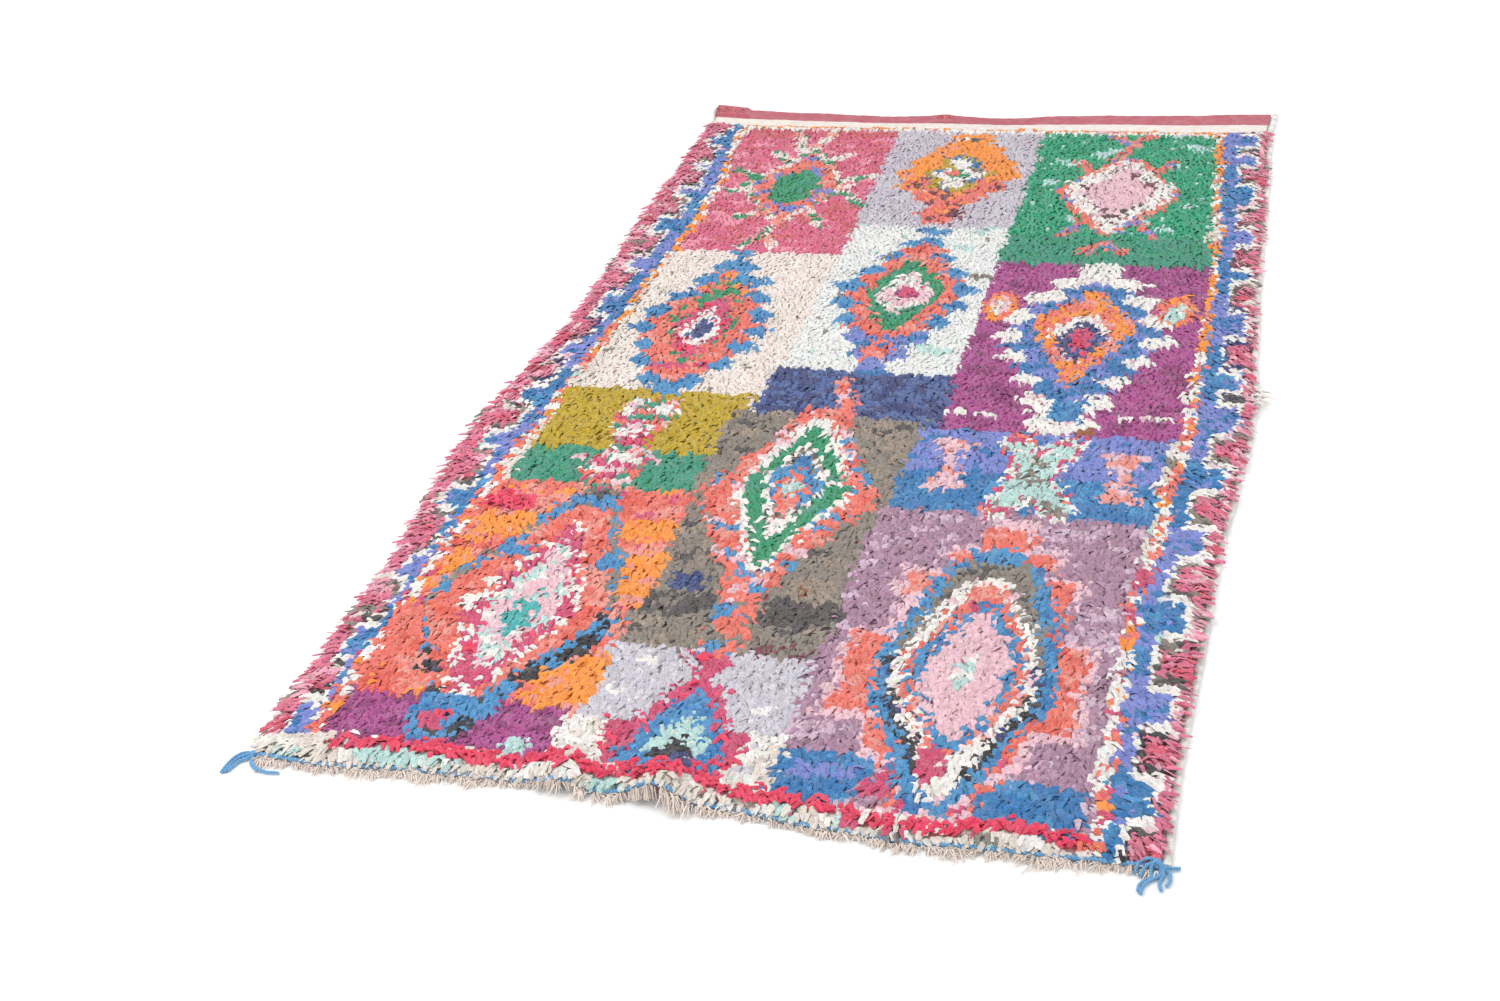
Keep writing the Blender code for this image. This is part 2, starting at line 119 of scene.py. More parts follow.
# Rags and yarns. Columns: colour as seen on a screen, piece, cut, what it is.
Rag = namedtuple("Rag", "colour piece cut note")
RAGS = {
    "rose": Rag((0.86, 0.40, 0.53), "pile_rose", "fine", "Washed rose cotton"),
    "dusty_rose": Rag((0.93, 0.58, 0.67), "pile_rose", "fine", "Paler rose cotton"),
    "brick": Rag((0.82, 0.38, 0.42), "pile_rose", "fine", "Brick red wool"),
    "cream": Rag((0.94, 0.89, 0.86), "pile_cream", "fine", "Warm cream cotton"),
    "ecru": Rag((0.88, 0.84, 0.80), "pile_cream", "jersey", "Unbleached jersey"),
    "white": Rag((0.92, 0.925, 0.915), "pile_white", "fine", "Cool white cotton"),
    "chalk": Rag((0.94, 0.92, 0.90), "pile_white", "jersey", "White jersey"),
    "lilac_grey": Rag((0.82, 0.80, 0.84), "pile_lilac", "jersey", "Lilac grey jersey"),
    "dove": Rag((0.81, 0.77, 0.82), "pile_lilac", "fine", "Dove grey cotton"),
    "emerald": Rag((0.06, 0.62, 0.45), "pile_emerald", "knit", "Emerald knitwear"),
    "grass": Rag((0.18, 0.60, 0.42), "pile_green", "fine", "Grass green cotton"),
    "teal_green": Rag((0.22, 0.59, 0.48), "pile_green", "jersey", "Teal green jersey"),
    "purple": Rag((0.68, 0.30, 0.56), "pile_purple", "fine", "Purple wool"),
    "plum": Rag((0.56, 0.22, 0.45), "pile_purple", "fine", "Plum wool"),
    "sky": Rag((0.29, 0.58, 0.79), "pile_sky", "jersey", "Sky blue jersey"),
    "azure": Rag((0.20, 0.48, 0.72), "pile_sky", "jersey", "Azure jersey"),
    "periwinkle": Rag((0.49, 0.54, 0.82), "pile_periwinkle", "jersey", "Periwinkle jersey"),
    "slate": Rag((0.31, 0.40, 0.62), "pile_navy", "jersey", "Slate blue jersey"),
    "navy": Rag((0.21, 0.25, 0.47), "pile_navy", "jersey", "Navy jersey"),
    "olive": Rag((0.76, 0.64, 0.08), "pile_olive", "jersey", "Olive yellow jersey"),
    "taupe": Rag((0.55, 0.51, 0.47), "pile_taupe", "jersey", "Taupe jersey"),
    "stone": Rag((0.63, 0.56, 0.50), "pile_taupe", "jersey", "Stone brown jersey"),
    "charcoal": Rag((0.34, 0.31, 0.31), "pile_dark", "jersey", "Charcoal jersey"),
    "black": Rag((0.18, 0.17, 0.20), "pile_dark", "jersey", "Black jersey"),
    "brown": Rag((0.60, 0.35, 0.19), "pile_dark", "jersey", "Brown wool"),
    "maroon": Rag((0.48, 0.24, 0.29), "pile_dark", "jersey", "Maroon wool"),
    "mauve": Rag((0.69, 0.53, 0.63), "pile_mauve", "satin", "Mauve lining cloth"),
    "pale_mauve": Rag((0.83, 0.71, 0.79), "pile_mauve", "satin", "Its paler face"),
    "coral": Rag((0.94, 0.47, 0.41), "pile_coral", "jersey", "Coral jersey"),
    "vermilion": Rag((0.90, 0.38, 0.32), "pile_coral", "jersey", "Vermilion jersey"),
    "salmon": Rag((0.94, 0.60, 0.55), "pile_coral", "jersey", "Salmon jersey"),
    "orange": Rag((1.00, 0.60, 0.22), "pile_orange", "jersey", "Orange jersey"),
    "crimson": Rag((0.93, 0.24, 0.38), "pile_raspberry", "line", "Crimson jersey"),
    "raspberry": Rag((0.83, 0.30, 0.46), "pile_raspberry", "jersey", "Raspberry jersey"),
    "blush": Rag((0.94, 0.77, 0.81), "pile_blush", "jersey", "Blush pink jersey"),
    "mint": Rag((0.74, 0.87, 0.85), "pile_mint", "jersey", "Mint jersey"),
    "teal": Rag((0.28, 0.70, 0.69), "pile_mint", "jersey", "Teal jersey"),
    "edge_rose": Rag((0.88, 0.47, 0.58), "pile_edge_rose", "edge", "Rose rags of the borders"),
    "edge_pink": Rag((0.94, 0.66, 0.73), "pile_edge_rose", "edge", "Their paler side"),
    "edge_red": Rag((0.87, 0.37, 0.47), "pile_edge_rose", "edge", "Redder rags of the borders"),
    "edge_wool": Rag((0.96, 0.95, 0.93), "", "", "Overcast wool of the edges"),
    "edge_grey": Rag((0.76, 0.75, 0.74), "", "", "Grey wool in the edges"),
    "blue_yarn": Rag((0.42, 0.64, 0.81), "", "", "Blue yarn of the twining and tassels"),
    "warp": Rag((0.90, 0.84, 0.80), "", "", "Beige warp of the fringe"),
    "band_red": Rag((0.73, 0.37, 0.42), "", "", "Dusty red weft of the far band"),
    "band_cream": Rag((0.93, 0.89, 0.86), "", "", "Cream weft of the far band"),
}
RAG_NAMES = [name for name, rag in RAGS.items() if rag.piece]

# How each cut of rag stands. Lengths in metres, angles in degrees. Fold is the depth of its
# crease and mottle is how much its tone varies from strip to strip.
Cut = namedtuple("Cut", "width length rise droop fold spread roll mottle")
CUTS = {
    "fine": Cut((0.0070, 0.0105), (0.018, 0.026), (0.0028, 0.0052), (0.60, 1.10), 0.20, 40, 10, 0.06),
    "knit": Cut((0.0070, 0.0105), (0.018, 0.026), (0.0034, 0.0062), (0.50, 1.00), 0.20, 44, 14, 0.09),
    "jersey": Cut((0.0090, 0.0140), (0.024, 0.035), (0.0036, 0.0072), (0.55, 1.00), 0.18, 38, 12, 0.07),
    "satin": Cut((0.0088, 0.0136), (0.024, 0.035), (0.0036, 0.0074), (0.55, 1.00), 0.18, 42, 14, 0.12),
    "edge": Cut((0.0065, 0.0105), (0.018, 0.036), (0.0045, 0.0095), (0.30, 0.80), 0.18, 46, 18, 0.11),
    "line": Cut((0.0085, 0.0125), (0.019, 0.027), (0.0065, 0.0105), (0.30, 0.70), 0.18, 25, 14, 0.07),
}

# Which rags a weaver takes for each part of the pattern, with their shares.
MIXES = {
    "cream_field": (("cream", 0.93), ("ecru", 0.06), ("taupe", 0.01)),
    "near_cream": (("ecru", 0.72), ("chalk", 0.18), ("taupe", 0.04), ("mint", 0.06)),
    "white_field": (("white", 0.97), ("mint", 0.02), ("taupe", 0.01)),
    "rose_field": (("rose", 0.70), ("dusty_rose", 0.20), ("brick", 0.10)),
    "brick_strip": (("brick", 0.75), ("rose", 0.25)),
    "dove_field": (("dove", 0.85), ("lilac_grey", 0.15)),
    "lilac_field": (("lilac_grey", 0.94), ("dove", 0.04), ("chalk", 0.02)),
    "warm_white": (("ecru", 0.45), ("chalk", 0.50), ("lilac_grey", 0.05)),
    "emerald_field": (("emerald", 0.86), ("mint", 0.07), ("grass", 0.07)),
    "green_field": (("teal_green", 0.90), ("grass", 0.10)),
    "purple_field": (("purple", 0.74), ("plum", 0.26)),
    "olive_field": (("olive", 1.00),),
    "navy_field": (("slate", 0.55), ("navy", 0.45)),
    "taupe_field": (("taupe", 0.72), ("stone", 0.22), ("charcoal", 0.06)),
    "charcoal_strip": (("charcoal", 0.85), ("taupe", 0.15)),
    "blue_field": (("periwinkle", 0.85), ("azure", 0.15)),
    "sky_field": (("azure", 0.80), ("sky", 0.20)),
    "mauve_field": (("mauve", 0.80), ("pale_mauve", 0.20)),
    "coral_field": (
        ("coral", 0.42), ("vermilion", 0.20), ("salmon", 0.24), ("raspberry", 0.04), ("orange", 0.10),
    ),
    "orange_patch": (("orange", 0.84), ("salmon", 0.16)),
    "pale_middle": (("mint", 0.35), ("chalk", 0.30), ("blush", 0.35)),
    "crimson": (("crimson", 0.92), ("raspberry", 0.08)),
    "raspberry": (("raspberry", 0.88), ("crimson", 0.12)),
    "coral": (("coral", 0.62), ("vermilion", 0.16), ("salmon", 0.22)),
    "coral_blue": (("coral", 0.62), ("salmon", 0.14), ("periwinkle", 0.24)),
    "coral_orange": (("coral", 0.45), ("orange", 0.40), ("salmon", 0.15)),
    "orange": (("orange", 0.95), ("salmon", 0.05)),
    "coral_maroon": (("coral", 0.66), ("maroon", 0.18), ("orange", 0.16)),
    "cream_green": (("cream", 0.58), ("grass", 0.32), ("salmon", 0.10)),
    "green": (("grass", 0.92), ("teal_green", 0.08)),
    "green_coral": (("grass", 0.70), ("coral", 0.30)),
    "olive_blue": (("olive", 0.50), ("azure", 0.30), ("taupe", 0.20)),
    "sky": (("sky", 0.75), ("azure", 0.25)),
    "sky_periwinkle": (("azure", 0.55), ("periwinkle", 0.45)),
    "periwinkle": (("periwinkle", 1.00),),
    "white": (("chalk", 0.92), ("blush", 0.08)),
    "white_maroon": (("chalk", 0.40), ("maroon", 0.35), ("charcoal", 0.25)),
    "blush": (("blush", 1.00),),
    "blush_white": (("blush", 0.60), ("chalk", 0.40)),
    "navy": (("navy", 0.75), ("slate", 0.25)),
    "plum_mix": (("raspberry", 0.50), ("plum", 0.50)),
    "mint": (("mint", 0.90), ("chalk", 0.10)),
    "teal": (("teal", 0.95), ("mint", 0.05)),
    "mint_taupe": (("mint", 0.70), ("taupe", 0.22), ("chalk", 0.08)),
    "pink_vase": (
        ("coral", 0.27), ("blush", 0.15), ("chalk", 0.15), ("teal_green", 0.28), ("raspberry", 0.15),
    ),
    "scatter": (("coral", 0.46), ("vermilion", 0.14), ("salmon", 0.14), ("sky", 0.13), ("blush", 0.13)),
    "hourglass": (("blush", 0.62), ("salmon", 0.38)),
    "stem": (("coral", 0.50), ("sky", 0.25), ("taupe", 0.25)),
    "shadow_far": (("sky", 0.58), ("taupe", 0.42)),
    "shadow_near": (("sky", 0.68), ("black", 0.32)),
    "berry_white": (("chalk", 0.55), ("raspberry", 0.35), ("coral", 0.10)),
    "tan": (("stone", 0.80), ("brown", 0.20)),
    "plum_brown": (("maroon", 0.35), ("taupe", 0.65)),
    "taupe": (("taupe", 0.90), ("charcoal", 0.10)),
    "black": (("black", 0.90), ("navy", 0.10)),
    "brown": (("brown", 1.00),),
    "orange_row": (("orange", 0.66), ("chalk", 0.24), ("salmon", 0.10)),
    "line_far": (("orange", 0.52), ("chalk", 0.38), ("salmon", 0.10)),
    "line_middle": (("coral", 0.45), ("chalk", 0.40), ("orange", 0.15)),
    "line_near": (("coral", 0.34), ("chalk", 0.46), ("orange", 0.10), ("raspberry", 0.10)),
    "spine": (("azure", 0.62), ("sky", 0.22), ("periwinkle", 0.16)),
    "spine_periwinkle": (("periwinkle", 0.78), ("azure", 0.22)),
    "pink_ring": (("blush", 0.50), ("coral", 0.30), ("raspberry", 0.20)),
    "comb_white": (("chalk", 0.88), ("mint", 0.04), ("blush", 0.08)),
    "comb_rose": (
        ("edge_rose", 0.55), ("edge_pink", 0.24), ("edge_red", 0.14), ("ecru", 0.04), ("taupe", 0.03),
    ),
    "comb_dark_far": (("charcoal", 0.45), ("maroon", 0.35), ("taupe", 0.20)),
    "comb_dark_middle": (("navy", 0.70), ("charcoal", 0.30)),
    "comb_dark_near": (("taupe", 0.60), ("charcoal", 0.40)),
    "comb_dark_end": (("black", 0.70), ("charcoal", 0.30)),
}
MIX_NAMES = list(MIXES)

# Parts of the pattern. Places are across and along, read through the camera's view.
Block = namedtuple("Block", "mix left right near far")
Bar = namedtuple("Bar", "mix width start end")
Oval = namedtuple("Oval", "mix middle half_width half_length")
Lozenge = namedtuple("Lozenge", "mix middle turns step teeth pitch lean")


def lozenges(middle, *layers, step=0.025, teeth=0.0, pitch=0.05, lean=0.0):
    """Nested lozenges round one middle, outermost first. A layer is a mix and the turns of
    its outline as (along, half width), from its far tip to its near tip."""
    return [Lozenge(mix, middle, turns, step, teeth, pitch, lean) for mix, turns in layers]


def bars(mix, width, *ends):
    """Straight bars of one mix. Each end pair is (across, along) twice."""
    return [Bar(mix, width, pair[:2], pair[2:]) for pair in ends]


def blocks(mix, *corners):
    """Straight blocks of one mix. Each is (left, right, near, far)."""
    return [Block(mix, *corner) for corner in corners]


FIELDS = [
    Block("rose_field", 0.14, 0.56, 1.87, 2.60),
    Block("brick_strip", 0.14, 0.56, 2.52, 2.60),
    Block("brick_strip", 0.47, 0.56, 2.07, 2.14),
    Block("dove_field", 0.555, 0.93, 2.03, 2.60),
    Block("emerald_field", 0.93, 1.38, 2.00, 2.60),
    Block("green_field", 0.93, 1.40, 1.87, 2.00),
    Block("cream_field", 0.16, 0.56, 1.23, 1.87),
    Block("white_field", 0.56, 0.93, 1.33, 2.03),
    Block("purple_field", 0.93, 1.41, 1.15, 1.87),
    Block("olive_field", 0.13, 0.54, 1.00, 1.23),
    Block("green_field", 0.13, 0.51, 0.87, 1.00),
    Block("navy_field", 0.55, 0.93, 1.15, 1.35),
    Block("taupe_field", 0.51, 0.90, 0.40, 1.17),
    Block("blue_field", 0.90, 1.38, 1.00, 1.15),
    Block("sky_field", 0.90, 1.38, 0.86, 1.00),
    Block("coral_field", 0.10, 0.52, 0.20, 0.87),
    Block("purple_field", 0.10, 0.50, 0.09, 0.215),
    Block("lilac_field", 0.51, 0.90, 0.20, 0.40),
    Block("warm_white", 0.50, 0.90, 0.09, 0.20),
    Block("mauve_field", 0.88, 1.37, 0.06, 0.87),
    Block("sky_field", 0.88, 1.02, 0.07, 0.18),
    Block("periwinkle", 0.90, 1.00, 0.12, 0.15),
    Block("sky_field", 1.18, 1.36, 0.06, 0.155),
]

ROSE_STAR = [
    *bars(
        "cream_green", 0.028,
        (0.33, 2.42, 0.29, 2.56), (0.35, 2.44, 0.375, 2.56), (0.30, 2.38, 0.255, 2.43),
        (0.41, 2.38, 0.45, 2.42), (0.24, 2.28, 0.19, 2.31), (0.25, 2.21, 0.20, 2.20),
        (0.49, 2.28, 0.54, 2.30), (0.49, 2.20, 0.55, 2.14), (0.30, 2.08, 0.255, 2.05),
        (0.43, 2.09, 0.475, 2.02), (0.35, 2.00, 0.35, 1.96), (0.35, 1.96, 0.31, 1.90),
        (0.35, 1.96, 0.39, 1.90),
    ),
    *lozenges(
        0.36,
        ("cream_green", ((2.45, 0.0), (2.40, 0.04), (2.23, 0.145), (2.05, 0.03), (2.02, 0.0))),
        ("coral_blue", ((2.42, 0.0), (2.33, 0.06), (2.25, 0.108), (2.17, 0.085), (2.05, 0.0))),
    ),
    Oval("green", (0.36, 2.23), 0.064, 0.095),
]

ORANGE_LOZENGE = [
    *lozenges(
        0.75,
        ("orange", ((2.56, 0.04), (2.50, 0.06), (2.44, 0.10), (2.34, 0.14), (2.30, 0.14))),
        ("coral_maroon", ((2.30, 0.14), (2.22, 0.11), (2.17, 0.05), (2.05, 0.04))),
        ("olive_blue", ((2.46, 0.0), (2.33, 0.085), (2.27, 0.06), (2.20, 0.0))),
        ("white", ((2.42, 0.0), (2.33, 0.05), (2.29, 0.04), (2.24, 0.0))),
        ("green_coral", ((2.39, 0.0), (2.34, 0.022), (2.30, 0.020), (2.27, 0.0))),
        step=0.02, teeth=0.013, pitch=0.075,
    ),
    *bars("white_maroon", 0.014, (0.715, 2.53, 0.79, 2.53), (0.67, 2.24, 0.72, 2.20)),
]

EMERALD_STAR = [
    *bars(
        "coral_blue", 0.022,
        (1.10, 2.57, 1.15, 2.50), (1.15, 2.50, 1.20, 2.58), (1.15, 2.50, 1.14, 2.43),
        (1.04, 2.41, 1.08, 2.35), (1.27, 2.42, 1.23, 2.36), (1.09, 2.09, 1.05, 2.01),
        (1.22, 2.09, 1.26, 2.01), (1.15, 1.985, 1.115, 1.92), (1.15, 1.985, 1.195, 1.93),
    ),
    *lozenges(
        1.155,
        ("coral_blue", ((2.44, 0.02), (2.38, 0.055), (2.24, 0.145), (2.12, 0.085), (2.02, 0.015))),
        ("white", ((2.42, 0.01), (2.28, 0.118), (2.22, 0.124), (2.12, 0.060), (2.03, 0.01))),
        ("white_maroon", ((2.39, 0.0), (2.26, 0.095), (2.18, 0.06), (2.08, 0.0))),
        ("blush", ((2.38, 0.0), (2.24, 0.085), (2.17, 0.05), (2.12, 0.01))),
    ),
]

CREAM_LOZENGE = [
    *lozenges(
        0.335,
        ("sky", ((1.87, 0.012), (1.82, 0.025), (1.76, 0.055), (1.54, 0.15), (1.38, 0.105), (1.22, 0.03))),
        step=0.02, teeth=0.022, pitch=0.075,
    ),
    *lozenges(
        0.335,
        ("coral_orange", ((1.77, 0.0), (1.70, 0.050), (1.62, 0.085))),
        ("coral", ((1.64, 0.08), (1.52, 0.118), (1.38, 0.085), (1.27, 0.02))),
        step=0.0375, teeth=-0.018, pitch=0.075,
    ),
    *lozenges(
        0.335,
        ("green_coral", ((1.72, 0.03), (1.55, 0.088), (1.42, 0.055), (1.33, 0.0))),
        ("raspberry", ((1.64, 0.01), (1.52, 0.062), (1.41, 0.03), (1.37, 0.0))),
        ("white", ((1.61, 0.0), (1.50, 0.044), (1.45, 0.025), (1.41, 0.0))),
        ("navy", ((1.57, 0.0), (1.50, 0.026), (1.44, 0.0))),
    ),
    *bars("raspberry", 0.016, (0.275, 1.337, 0.395, 1.337)),
]

WHITE_LOZENGE = [
    *lozenges(
        0.75,
        ("sky", ((2.02, 0.03), (1.96, 0.012), (1.92, 0.04), (1.84, 0.085), (1.72, 0.15), (1.55, 0.105))),
        ("sky_periwinkle", ((1.56, 0.105), (1.48, 0.07), (1.40, 0.04), (1.33, 0.0))),
        step=0.02, teeth=0.022, pitch=0.075,
    ),
    *lozenges(
        0.75,
        ("coral", ((1.95, 0.01), (1.84, 0.068), (1.69, 0.122), (1.55, 0.078), (1.47, 0.0))),
        step=0.0375, teeth=-0.018, pitch=0.075,
    ),
    *lozenges(
        0.75,
        ("green", ((1.87, 0.0), (1.80, 0.055), (1.70, 0.088), (1.60, 0.055), (1.51, 0.0))),
        ("blush_white", ((1.80, 0.0), (1.70, 0.055), (1.66, 0.050), (1.60, 0.0))),
        ("plum_mix", ((1.73, 0.010), (1.70, 0.032), (1.67, 0.01))),
    ),
    Block("coral", 0.71, 0.78, 1.405, 1.46),
    Block("periwinkle", 0.715, 0.77, 1.36, 1.40),
]

PURPLE_LOZENGE = [
    Block("white", 1.125, 1.205, 1.815, 1.87),
    *lozenges(
        1.165,
        ("white", ((1.82, 0.02), (1.78, 0.09), (1.60, 0.165), (1.52, 0.165), (1.38, 0.10), (1.16, 0.04))),
        step=0.02, teeth=0.030, pitch=0.085,
    ),
    *lozenges(
        1.165,
        ("sky_periwinkle", ((1.79, 0.02), (1.66, 0.108), (1.55, 0.146), (1.40, 0.100), (1.26, 0.03))),
        step=0.02, teeth=-0.024, pitch=0.085,
    ),
    *lozenges(
        1.165,
        ("coral_orange", (
            (1.74, 0.03), (1.70, 0.02), (1.67, 0.06),
            (1.60, 0.108), (1.57, 0.108), (1.33, 0.0),
        )),
        ("white", ((1.64, 0.0), (1.58, 0.060), (1.54, 0.066), (1.42, 0.0))),
        ("navy", ((1.61, 0.0), (1.54, 0.052), (1.51, 0.052), (1.43, 0.0))),
        ("raspberry", ((1.59, 0.0), (1.53, 0.032), (1.46, 0.0))),
    ),
    Oval("coral_orange", (0.975, 1.66), 0.037, 0.062),
    Oval("blush_white", (0.975, 1.66), 0.020, 0.040),
    Oval("coral_orange", (1.345, 1.67), 0.037, 0.062),
    Oval("mint", (1.345, 1.66), 0.020, 0.040),
    Block("sky", 1.14, 1.20, 1.20, 1.28),
    *blocks("white", (1.105, 1.135, 1.235, 1.27), (1.20, 1.23, 1.235, 1.27), (1.13, 1.20, 1.155, 1.195)),
    Block("brown", 1.205, 1.235, 1.155, 1.18),
    *bars("white", 0.010, (1.27, 1.22, 1.38, 1.235), (0.94, 1.22, 1.04, 1.215)),
]

OLIVE_VASE = [
    *lozenges(
        0.33,
        ("pink_vase", ((1.20, 0.055), (1.11, 0.065), (1.04, 0.035), (0.95, 0.062), (0.88, 0.055))),
    ),
    Block("raspberry", 0.305, 0.355, 1.015, 1.05),
    *bars("pink_vase", 0.018, (0.29, 0.99, 0.24, 0.96), (0.37, 0.99, 0.42, 0.965)),
]

TAUPE_LOZENGE = [
    *bars("scatter", 0.035, (0.735, 1.18, 0.72, 1.26), (0.72, 1.26, 0.705, 1.31)),
    *bars("stem", 0.070, (0.70, 0.64, 0.70, 0.41)),
    *lozenges(
        0.70,
        ("scatter", ((1.20, 0.04), (1.02, 0.10), (0.89, 0.17), (0.84, 0.16), (0.70, 0.09), (0.54, 0.03))),
        ("white", ((1.16, 0.028), (1.00, 0.078), (0.90, 0.118), (0.80, 0.078), (0.63, 0.018))),
        ("green", ((1.14, 0.014), (1.00, 0.066), (0.91, 0.106), (0.80, 0.066), (0.64, 0.008))),
        ("white", ((1.07, 0.0), (1.01, 0.030), (0.93, 0.064), (0.81, 0.030), (0.73, 0.0))),
        ("taupe", ((1.06, 0.0), (0.97, 0.038), (0.90, 0.052), (0.78, 0.0))),
        ("sky", ((1.03, 0.0), (0.92, 0.052), (0.87, 0.04), (0.82, 0.0))),
        ("coral", ((0.99, 0.0), (0.90, 0.036), (0.86, 0.025), (0.79, 0.0))),
        ("mint", ((0.945, 0.0), (0.91, 0.02), (0.875, 0.0))),
    ),
    Block("charcoal_strip", 0.52, 0.665, 0.485, 0.555),
    Block("charcoal_strip", 0.745, 0.89, 0.475, 0.555),
    Block("navy", 0.555, 0.625, 0.56, 0.61),
    Block("tan", 0.78, 0.86, 0.565, 0.625),
    Block("plum_brown", 0.755, 0.88, 0.40, 0.44),
]

BLUE_CROSS = [
    *bars("berry_white", 0.076, (1.10, 1.11, 1.20, 0.89), (1.20, 1.11, 1.10, 0.89)),
    *bars("mint_taupe", 0.048, (1.10, 1.11, 1.20, 0.89), (1.20, 1.11, 1.10, 0.89)),
    *bars(
        "raspberry", 0.020,
        (1.09, 1.12, 1.11, 1.12), (1.19, 1.12, 1.21, 1.12), (1.09, 0.885, 1.11, 0.885),
    ),
    *lozenges(0.985, ("hourglass", ((1.11, 0.04), (1.03, 0.010), (0.94, 0.042)))),
    *lozenges(1.31, ("hourglass", ((1.10, 0.045), (1.02, 0.010), (0.93, 0.045)))),
]

CORAL_LOZENGE = [
    Block("crimson", 0.12, 0.21, 0.77, 0.815),
    *blocks(
        "orange_patch", (0.13, 0.27, 0.68, 0.76), (0.42, 0.52, 0.70, 0.77), (0.12, 0.20, 0.50, 0.61),
        (0.44, 0.53, 0.50, 0.67), (0.42, 0.52, 0.22, 0.36),
    ),
    Block("taupe", 0.30, 0.36, 0.825, 0.86),
    Block("sky", 0.29, 0.37, 0.80, 0.83),
    *lozenges(
        0.33,
        ("shadow_far", ((0.80, 0.065), (0.68, 0.105), (0.56, 0.163), (0.46, 0.184))),
        ("shadow_near", ((0.47, 0.184), (0.36, 0.152), (0.24, 0.075), (0.11, 0.03))),
        step=0.045, lean=0.07,
    ),
    *lozenges(
        0.33,
        ("coral", ((0.79, 0.04), (0.68, 0.085), (0.48, 0.168), (0.36, 0.12), (0.24, 0.05), (0.18, 0.015))),
        ("berry_white", ((0.74, 0.01), (0.62, 0.06), (0.48, 0.112), (0.36, 0.08), (0.20, 0.01))),
        ("raspberry", ((0.70, 0.01), (0.57, 0.058), (0.46, 0.082), (0.34, 0.048), (0.24, 0.01))),
        ("pale_middle", ((0.67, 0.012), (0.52, 0.062), (0.44, 0.070), (0.30, 0.012))),
        ("blush", ((0.62, 0.0), (0.50, 0.045), (0.44, 0.050), (0.37, 0.01))),
        ("teal", ((0.54, 0.0), (0.45, 0.030), (0.38, 0.005))),
        lean=0.07,
    ),
    *lozenges(
        0.28,
        ("sky", ((0.215, 0.05), (0.16, 0.045), (0.10, 0.02))),
        ("raspberry", ((0.17, 0.03), (0.13, 0.02))),
        ("black", ((0.135, 0.015), (0.12, 0.01))),
    ),
    *blocks("sky", (0.20, 0.27, 0.62, 0.65), (0.40, 0.45, 0.60, 0.65)),
    *blocks("black", (0.20, 0.24, 0.27, 0.30), (0.37, 0.42, 0.27, 0.29), (0.235, 0.265, 0.215, 0.235)),
]

WHITE_ARROW = [
    *blocks("raspberry", (0.655, 0.735, 0.355, 0.385), (0.680, 0.715, 0.30, 0.355)),
    *lozenges(
        0.70,
        ("raspberry", ((0.31, 0.03), (0.20, 0.085), (0.19, 0.12), (0.15, 0.12), (0.09, 0.10))),
        ("sky", ((0.295, 0.0), (0.20, 0.06), (0.10, 0.09))),
        ("mint", ((0.235, 0.0), (0.18, 0.04), (0.13, 0.055))),
        ("black", ((0.185, 0.0), (0.15, 0.022), (0.12, 0.038))),
    ),
]

MAUVE_LOZENGE = [
    *blocks(
        "blush", (1.105, 1.185, 0.755, 0.850), (1.035, 1.245, 0.72, 0.760), (0.965, 1.08, 0.60, 0.688),
        (1.19, 1.288, 0.60, 0.682), (0.978, 1.02, 0.49, 0.60), (0.912, 1.00, 0.265, 0.502),
        (1.26, 1.337, 0.255, 0.502), (0.99, 1.05, 0.17, 0.27), (1.21, 1.27, 0.17, 0.27),
    ),
    *blocks(
        "coral", (1.100, 1.175, 0.755, 0.822), (1.048, 1.105, 0.70, 0.742), (1.152, 1.232, 0.70, 0.746),
        (0.983, 1.08, 0.613, 0.672), (1.20, 1.276, 0.613, 0.668), (1.236, 1.270, 0.485, 0.615),
        (0.926, 1.01, 0.288, 0.487), (1.24, 1.322, 0.273, 0.487), (1.00, 1.045, 0.19, 0.29),
        (1.22, 1.258, 0.20, 0.29),
    ),
    *lozenges(
        1.13,
        ("pink_ring", ((0.20, 0.115), (0.14, 0.095), (0.09, 0.075), (0.04, 0.065))),
        ("sky", (
            (0.765, 0.012), (0.72, 0.07), (0.63, 0.112), (0.50, 0.135),
            (0.42, 0.152), (0.33, 0.150), (0.22, 0.098), (0.05, 0.022),
        )),
        ("taupe", ((0.715, 0.055), (0.66, 0.074), (0.54, 0.102), (0.42, 0.132))),
        ("black", ((0.43, 0.132), (0.31, 0.116), (0.20, 0.066), (0.10, 0.012))),
        ("white", (
            (0.675, 0.022), (0.62, 0.058), (0.52, 0.092), (0.42, 0.120),
            (0.34, 0.112), (0.24, 0.066), (0.09, 0.012),
        )),
        ("coral", (
            (0.655, 0.022), (0.60, 0.040), (0.50, 0.078), (0.42, 0.102),
            (0.34, 0.094), (0.24, 0.040), (0.17, 0.010),
        )),
        ("sky", (
            (0.605, 0.015), (0.55, 0.045), (0.46, 0.082),
            (0.36, 0.084), (0.27, 0.048), (0.18, 0.006),
        )),
        ("blush", (
            (0.57, 0.010), (0.52, 0.038), (0.46, 0.064),
            (0.36, 0.070), (0.30, 0.052), (0.235, 0.008),
        )),
        step=0.03,
    ),
    *lozenges(1.115, ("raspberry", ((0.212, 0.024), (0.18, 0.030), (0.135, 0.008)))),
    Oval("pale_middle", (1.125, 0.41), 0.016, 0.045),
    *blocks("blush", (1.02, 1.18, 0.038, 0.065)),
    *blocks("raspberry", (1.025, 1.07, 0.085, 0.135), (1.10, 1.125, 0.575, 0.60)),
]

